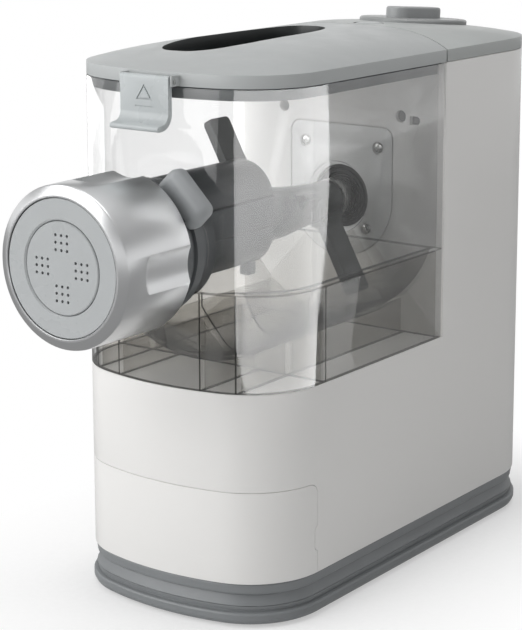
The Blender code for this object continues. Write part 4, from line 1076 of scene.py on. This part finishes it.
# %% Rear cover
KNOB = Matrix.Translation((0.0, 0.132, 0.2866)) @ Matrix.Rotation(-math.radians(4), 4, "X")
POSTS = [(x, y) for x in (-0.033, 0.033) for y in (0.082, 0.154)]
BUTTON_Y, BUTTON_RADIUS = 0.085, 0.0083
cover = pillow(0.0, 0.0)
combine(cover, prism(behind_seam(SEAM_HALF), 0.2, 0.3), "INTERSECT")
space = pillow(WALL, WALL)
combine(space, prism(behind_seam(0.00025 + WALL), 0.2, 0.3), "INTERSECT")
for x, y in POSTS:
    combine(space, rod(0.0035, (x, y), 0.2, 0.3, "Z", 24))
combine(cover, space)
for x, y in POSTS:
    combine(cover, rod(0.0015, (x, y), 0.26, LID_LOW + 0.006, "Z", 12))
pocket = rod(0.031 + GAP, (0.0, 0.0), -0.003 - GAP, 0.01, "Z", 128)
pocket.data.transform(KNOB)
combine(cover, pocket)
hole = rod(0.0036, (0.0, 0.0), -0.02, 0.01, "Z", 32)
hole.data.transform(KNOB)
combine(cover, hole)
combine(cover, rod(BUTTON_RADIUS + 2 * GAP, (0.0, BUTTON_Y), 0.26, 0.3, "Z", 64))
soften(cover, 0.0004, 2, 38, 28)
paint(cover, "column_cover", cover_grey, "mid_grey_plastic", "machine", "rear_cover")

# %% [markdown]
# The dial is a thin disc with a bar grip across it. The grip is a stadium pulled up and rounded,
# and a groove at one end is the pointer. Dial and grip are made level and then tilted together.

# %% Dial
profile = [(0.0, 0.0), (0.0296, 0.0), (0.0305, -0.0003), (0.0310, -0.0010), (0.0310, -0.003),
           (0.0, -0.003)]
dial = turned(profile, steps=128)
groove = [(0.0262, 0.001), (0.0266, 0.001), (0.0266, -0.0004), (0.0262, -0.0004),
          (0.0262, 0.001)]
combine(dial, turned(groove, steps=96))
half, reach = 0.0082, 0.0175
bar = prism(stadium(0.0, half - reach, reach - half, half, 20), -0.0015, 0.0062)
soften(bar, 0.0014, 4, 60)
combine(bar, block((-0.0006, 0.009, 0.0055), (0.0006, 0.02, 0.01)))
bar.data.transform(Matrix.Rotation(math.radians(-22), 4, "Z"))
combine(dial, bar, "UNION")
combine(dial, rod(0.003, (0.0, 0.0), -0.0078, -0.002, "Z", 32), "UNION")
dial.data.transform(KNOB)
soften(dial, 0.0, smooth=28)
paint(dial, "program_dial", dial_grey, "light_grey_plastic", "knob", "control_knob")
repaint(dial, grip_grey, lambda face: (KNOB.inverted() @ face.center).z > 0.0002)

# %% [markdown]
# The start button is a cap on a stem. Its stem ends just above the switch that it presses, so that
# it doesn't cut into the switch when it is pushed down.

# %% Start button
low, foot = 0.2814, 0.2781
profile = behind(0.2874, [(0.0, 0.0), (0.0060, 0.0002), (0.0074, 0.0005), (0.0081, 0.0010),
                          (BUTTON_RADIUS, 0.0018)])
profile += [(BUTTON_RADIUS, low), (0.0020, low), (0.0020, foot), (0.0, foot)]
button = turned(profile, (0.0, BUTTON_Y, 0.0), steps=64)
soften(button, 0.0)
paint(button, "start_cap", disc_grey, "light_grey_plastic", "button", "start_button")

# %% [markdown]
# The pieces of the drive, the boards, the tray and the feet are hidden or plain, and their CAD
# shape is right, so they stay as they are and only get a finish.

# %% Finishes for the CAD nodes that stay
STAYING = {
    "auger": paddle_grey, "cooling_fan": paddle_grey, "cord_inlet": paddle_grey,
    "rotary_switch": paddle_grey, "push_switch": paddle_grey, "lid_switch": paddle_grey,
    "drawer_tray": tray_white, "drawer_bay": base_grey, "output_shaft": steel,
    "idler_shaft": steel, "motor_shaft": steel, "motor_can": steel, "gear_frame_front": steel,
    "gear_frame_rear": steel, "latch_pin": steel, "output_gear": nylon, "idler_gear": nylon,
    "control_board": board_green, "power_board": board_green,
}
for i in range(1, 5):
    STAYING[f"foot_{i}"] = rubber
    STAYING[f"board_screw_{i}"] = steel
for shaft in ("output", "idler", "motor"):
    for end in ("front", "rear"):
        STAYING[f"{shaft}_bearing_{end}"] = bronze
for name, finish in STAYING.items():
    for material_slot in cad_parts[name].material_slots:
        material_slot.material = finish
shown = [n for n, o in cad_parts.items() if not o.hide_render]
print("CAD nodes shown", len(shown), "without a finish", sorted(set(shown) - set(STAYING)))

# %% [markdown]
# The floor is white paper that takes the object's soft shadow. Light Path tells rays that show
# from rays that light, so the paper can look white to the camera without lighting the object, and
# the shadow fades out a little way from the base. In mirrors it is a mid grey.

# %% Floor
rest()
bpy.ops.mesh.primitive_plane_add(size=8.0, location=(0.0, 0.0, 0.0))
floor = bpy.context.active_object
floor.name = "floor"
bpy.ops.object.mode_set(mode="EDIT")
bpy.ops.mesh.subdivide(number_cuts=3)
rest()
floor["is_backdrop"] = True


def floor_paper():
    """Paper that keeps the shadow near the base and fades to plain white further out."""
    made, tree, shader, place = fresh("white paper")
    shader.inputs["Roughness"].default_value = 0.9
    shader.inputs["Specular IOR Level"].default_value = 0.1
    fibres = noise(tree, place, 300.0, 3.0)
    link(tree, two_tone(tree, fibres, tone(250, 250, 250), tone(255, 255, 255)),
         shader.inputs["Base Color"])
    glow = node(tree, "Emission", Color=(1.0, 1.0, 1.0, 1.0))
    parts = node(tree, "SeparateXYZ")
    link(tree, place, parts.inputs[0])
    gaps = []
    for axis, middle, half in ((0, 0.0, 0.0685), (1, MIDDLE_Y, 0.1407)):
        offset = calc(tree, "ABSOLUTE", calc(tree, "SUBTRACT", parts.outputs[axis], middle))
        gap = calc(tree, "MAXIMUM", calc(tree, "SUBTRACT", offset, half), 0.0)
        gaps.append(calc(tree, "POWER", gap, 2.0))
    away = calc(tree, "SQRT", calc(tree, "ADD", *gaps))
    mirror = node(tree, "LightPath").outputs["Is Glossy Ray"]
    share = calc(tree, "MULTIPLY", ranged(tree, away, 0.45, 1.0, 0.0, 0.10), rays_that_show(tree))
    share = calc(tree, "MAXIMUM", share, mirror)
    link(tree, ranged(tree, mirror, 1.0, 0.34, 0.0, 1.0), glow.inputs["Strength"])
    surface(tree, mix_shaders(tree, share, shader, glow))
    return made


floor.data.materials.append(floor_paper())
print("floor", len(floor.data.polygons), "faces")

# %% [markdown]
# A large soft lamp stands at the front left, as the pale front faces show, one hangs above, and a
# narrow one stands at the right. Two more are linked to the chamber alone, which mirrors them as
# pale upright bands, as studio reflectors do on the real one.

# %% Lamps


def lamp(name, spot, target, size, power, size_y=None):
    data = bpy.data.lights.new(name, "AREA")
    data.energy = power
    data.shape = "RECTANGLE"
    data.size = size
    data.size_y = size_y or size
    item = bpy.data.objects.new(name, data)
    bpy.context.scene.collection.objects.link(item)
    away = Vector(spot) - Vector(target)
    item.matrix_world = Matrix.Translation(spot) @ away.to_track_quat("Z", "Y").to_matrix().to_4x4()
    return item


lamp("front_left_softbox", (-0.9, -1.5, 1.0), (0.0, 0.0, 0.15), 1.9, 28.6)
lamp("top_softbox", (0.0, 0.1, 1.9), (0.0, 0.0, 0.1), 1.4, 14.0)
lamp("right_strip", (1.6, -0.5, 0.6), (0.0, -0.05, 0.2), 0.4, 0.8, 1.2)

shine = bpy.data.collections.new("chamber_only")
shine.objects.link(chamber)
BANDS = [("corner_band", (0.1390, -0.119, 0.225), (0.0208, -0.098, 0.225), 0.441, 3.8, 0.44),
         ("left_band", (-0.30, -0.07, 0.225), (-0.05, -0.095, 0.225), 0.30, 0.5, 0.10)]
for band in BANDS:
    lamp(*band).light_linking.receiver_collection = shine
print("lamps", len(bpy.data.lights))

# %% [markdown]
# The world fills the shadows with a quarter of its strength. The camera sees it white, and metal
# mirrors a grey band at mid height between white floor and pale ceiling, as in a tent of paper.

# %% Backdrop
world = bpy.data.worlds.new("studio")
bpy.context.scene.world = world
world.use_nodes = True
tree = world.node_tree
background = tree.nodes["Background"]
heading = node(tree, "SeparateXYZ")
link(tree, node(tree, "TexCoord").outputs["Generated"], heading.inputs[0])
flags = node(tree, "ValToRGB")
stops = flags.color_ramp.elements
stops[0].position, stops[1].position = 0.20, 0.62
stops[0].color, stops[1].color = (1.0, 1.0, 1.0, 1.0), (0.55, 0.55, 0.55, 1.0)
stops.new(0.34).color = (0.30, 0.30, 0.30, 1.0)
link(tree, heading.outputs["Z"], flags.inputs["Fac"])
mirror = node(tree, "LightPath").outputs["Is Glossy Ray"]
seen = mix_colours(tree, mirror, [1.0, 1.0, 1.0], flags.outputs["Color"])
link(tree, seen, background.inputs["Color"])
link(tree, ranged(tree, rays_that_show(tree), 0.25, 1.0, 0.0, 1.0), background.inputs["Strength"])
print("world nodes", len(tree.nodes))

# %% [markdown]
# The camera's place, turn and lens were solved from the edges of the object in the photo.

# %% Camera
camera_data = bpy.data.cameras.new("photo_camera")
camera_data.lens = 112.037
camera_data.sensor_width = 36.0
camera_data.shift_x, camera_data.shift_y = -0.047619, -0.150794
camera = bpy.data.objects.new("photo_camera", camera_data)
camera.location = (0.603433, -0.839127, 0.390450)
camera.rotation_euler = [math.radians(a) for a in (78.90175, 0.0, 35.4167)]
bpy.context.scene.collection.objects.link(camera)
bpy.context.scene.camera = camera
bpy.context.scene.view_settings.view_transform = "Standard"
bpy.context.scene.cycles.transparent_max_bounces = 32
print("camera at", [round(v, 3) for v in camera.location])

# %% [markdown]
# The dressed object is meant to keep the CAD model's size, so its box is printed.

# %% Box of the dressed object
low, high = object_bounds()
print("dressed box", [round(v * 1000, 1) for v in (*low, *high)])
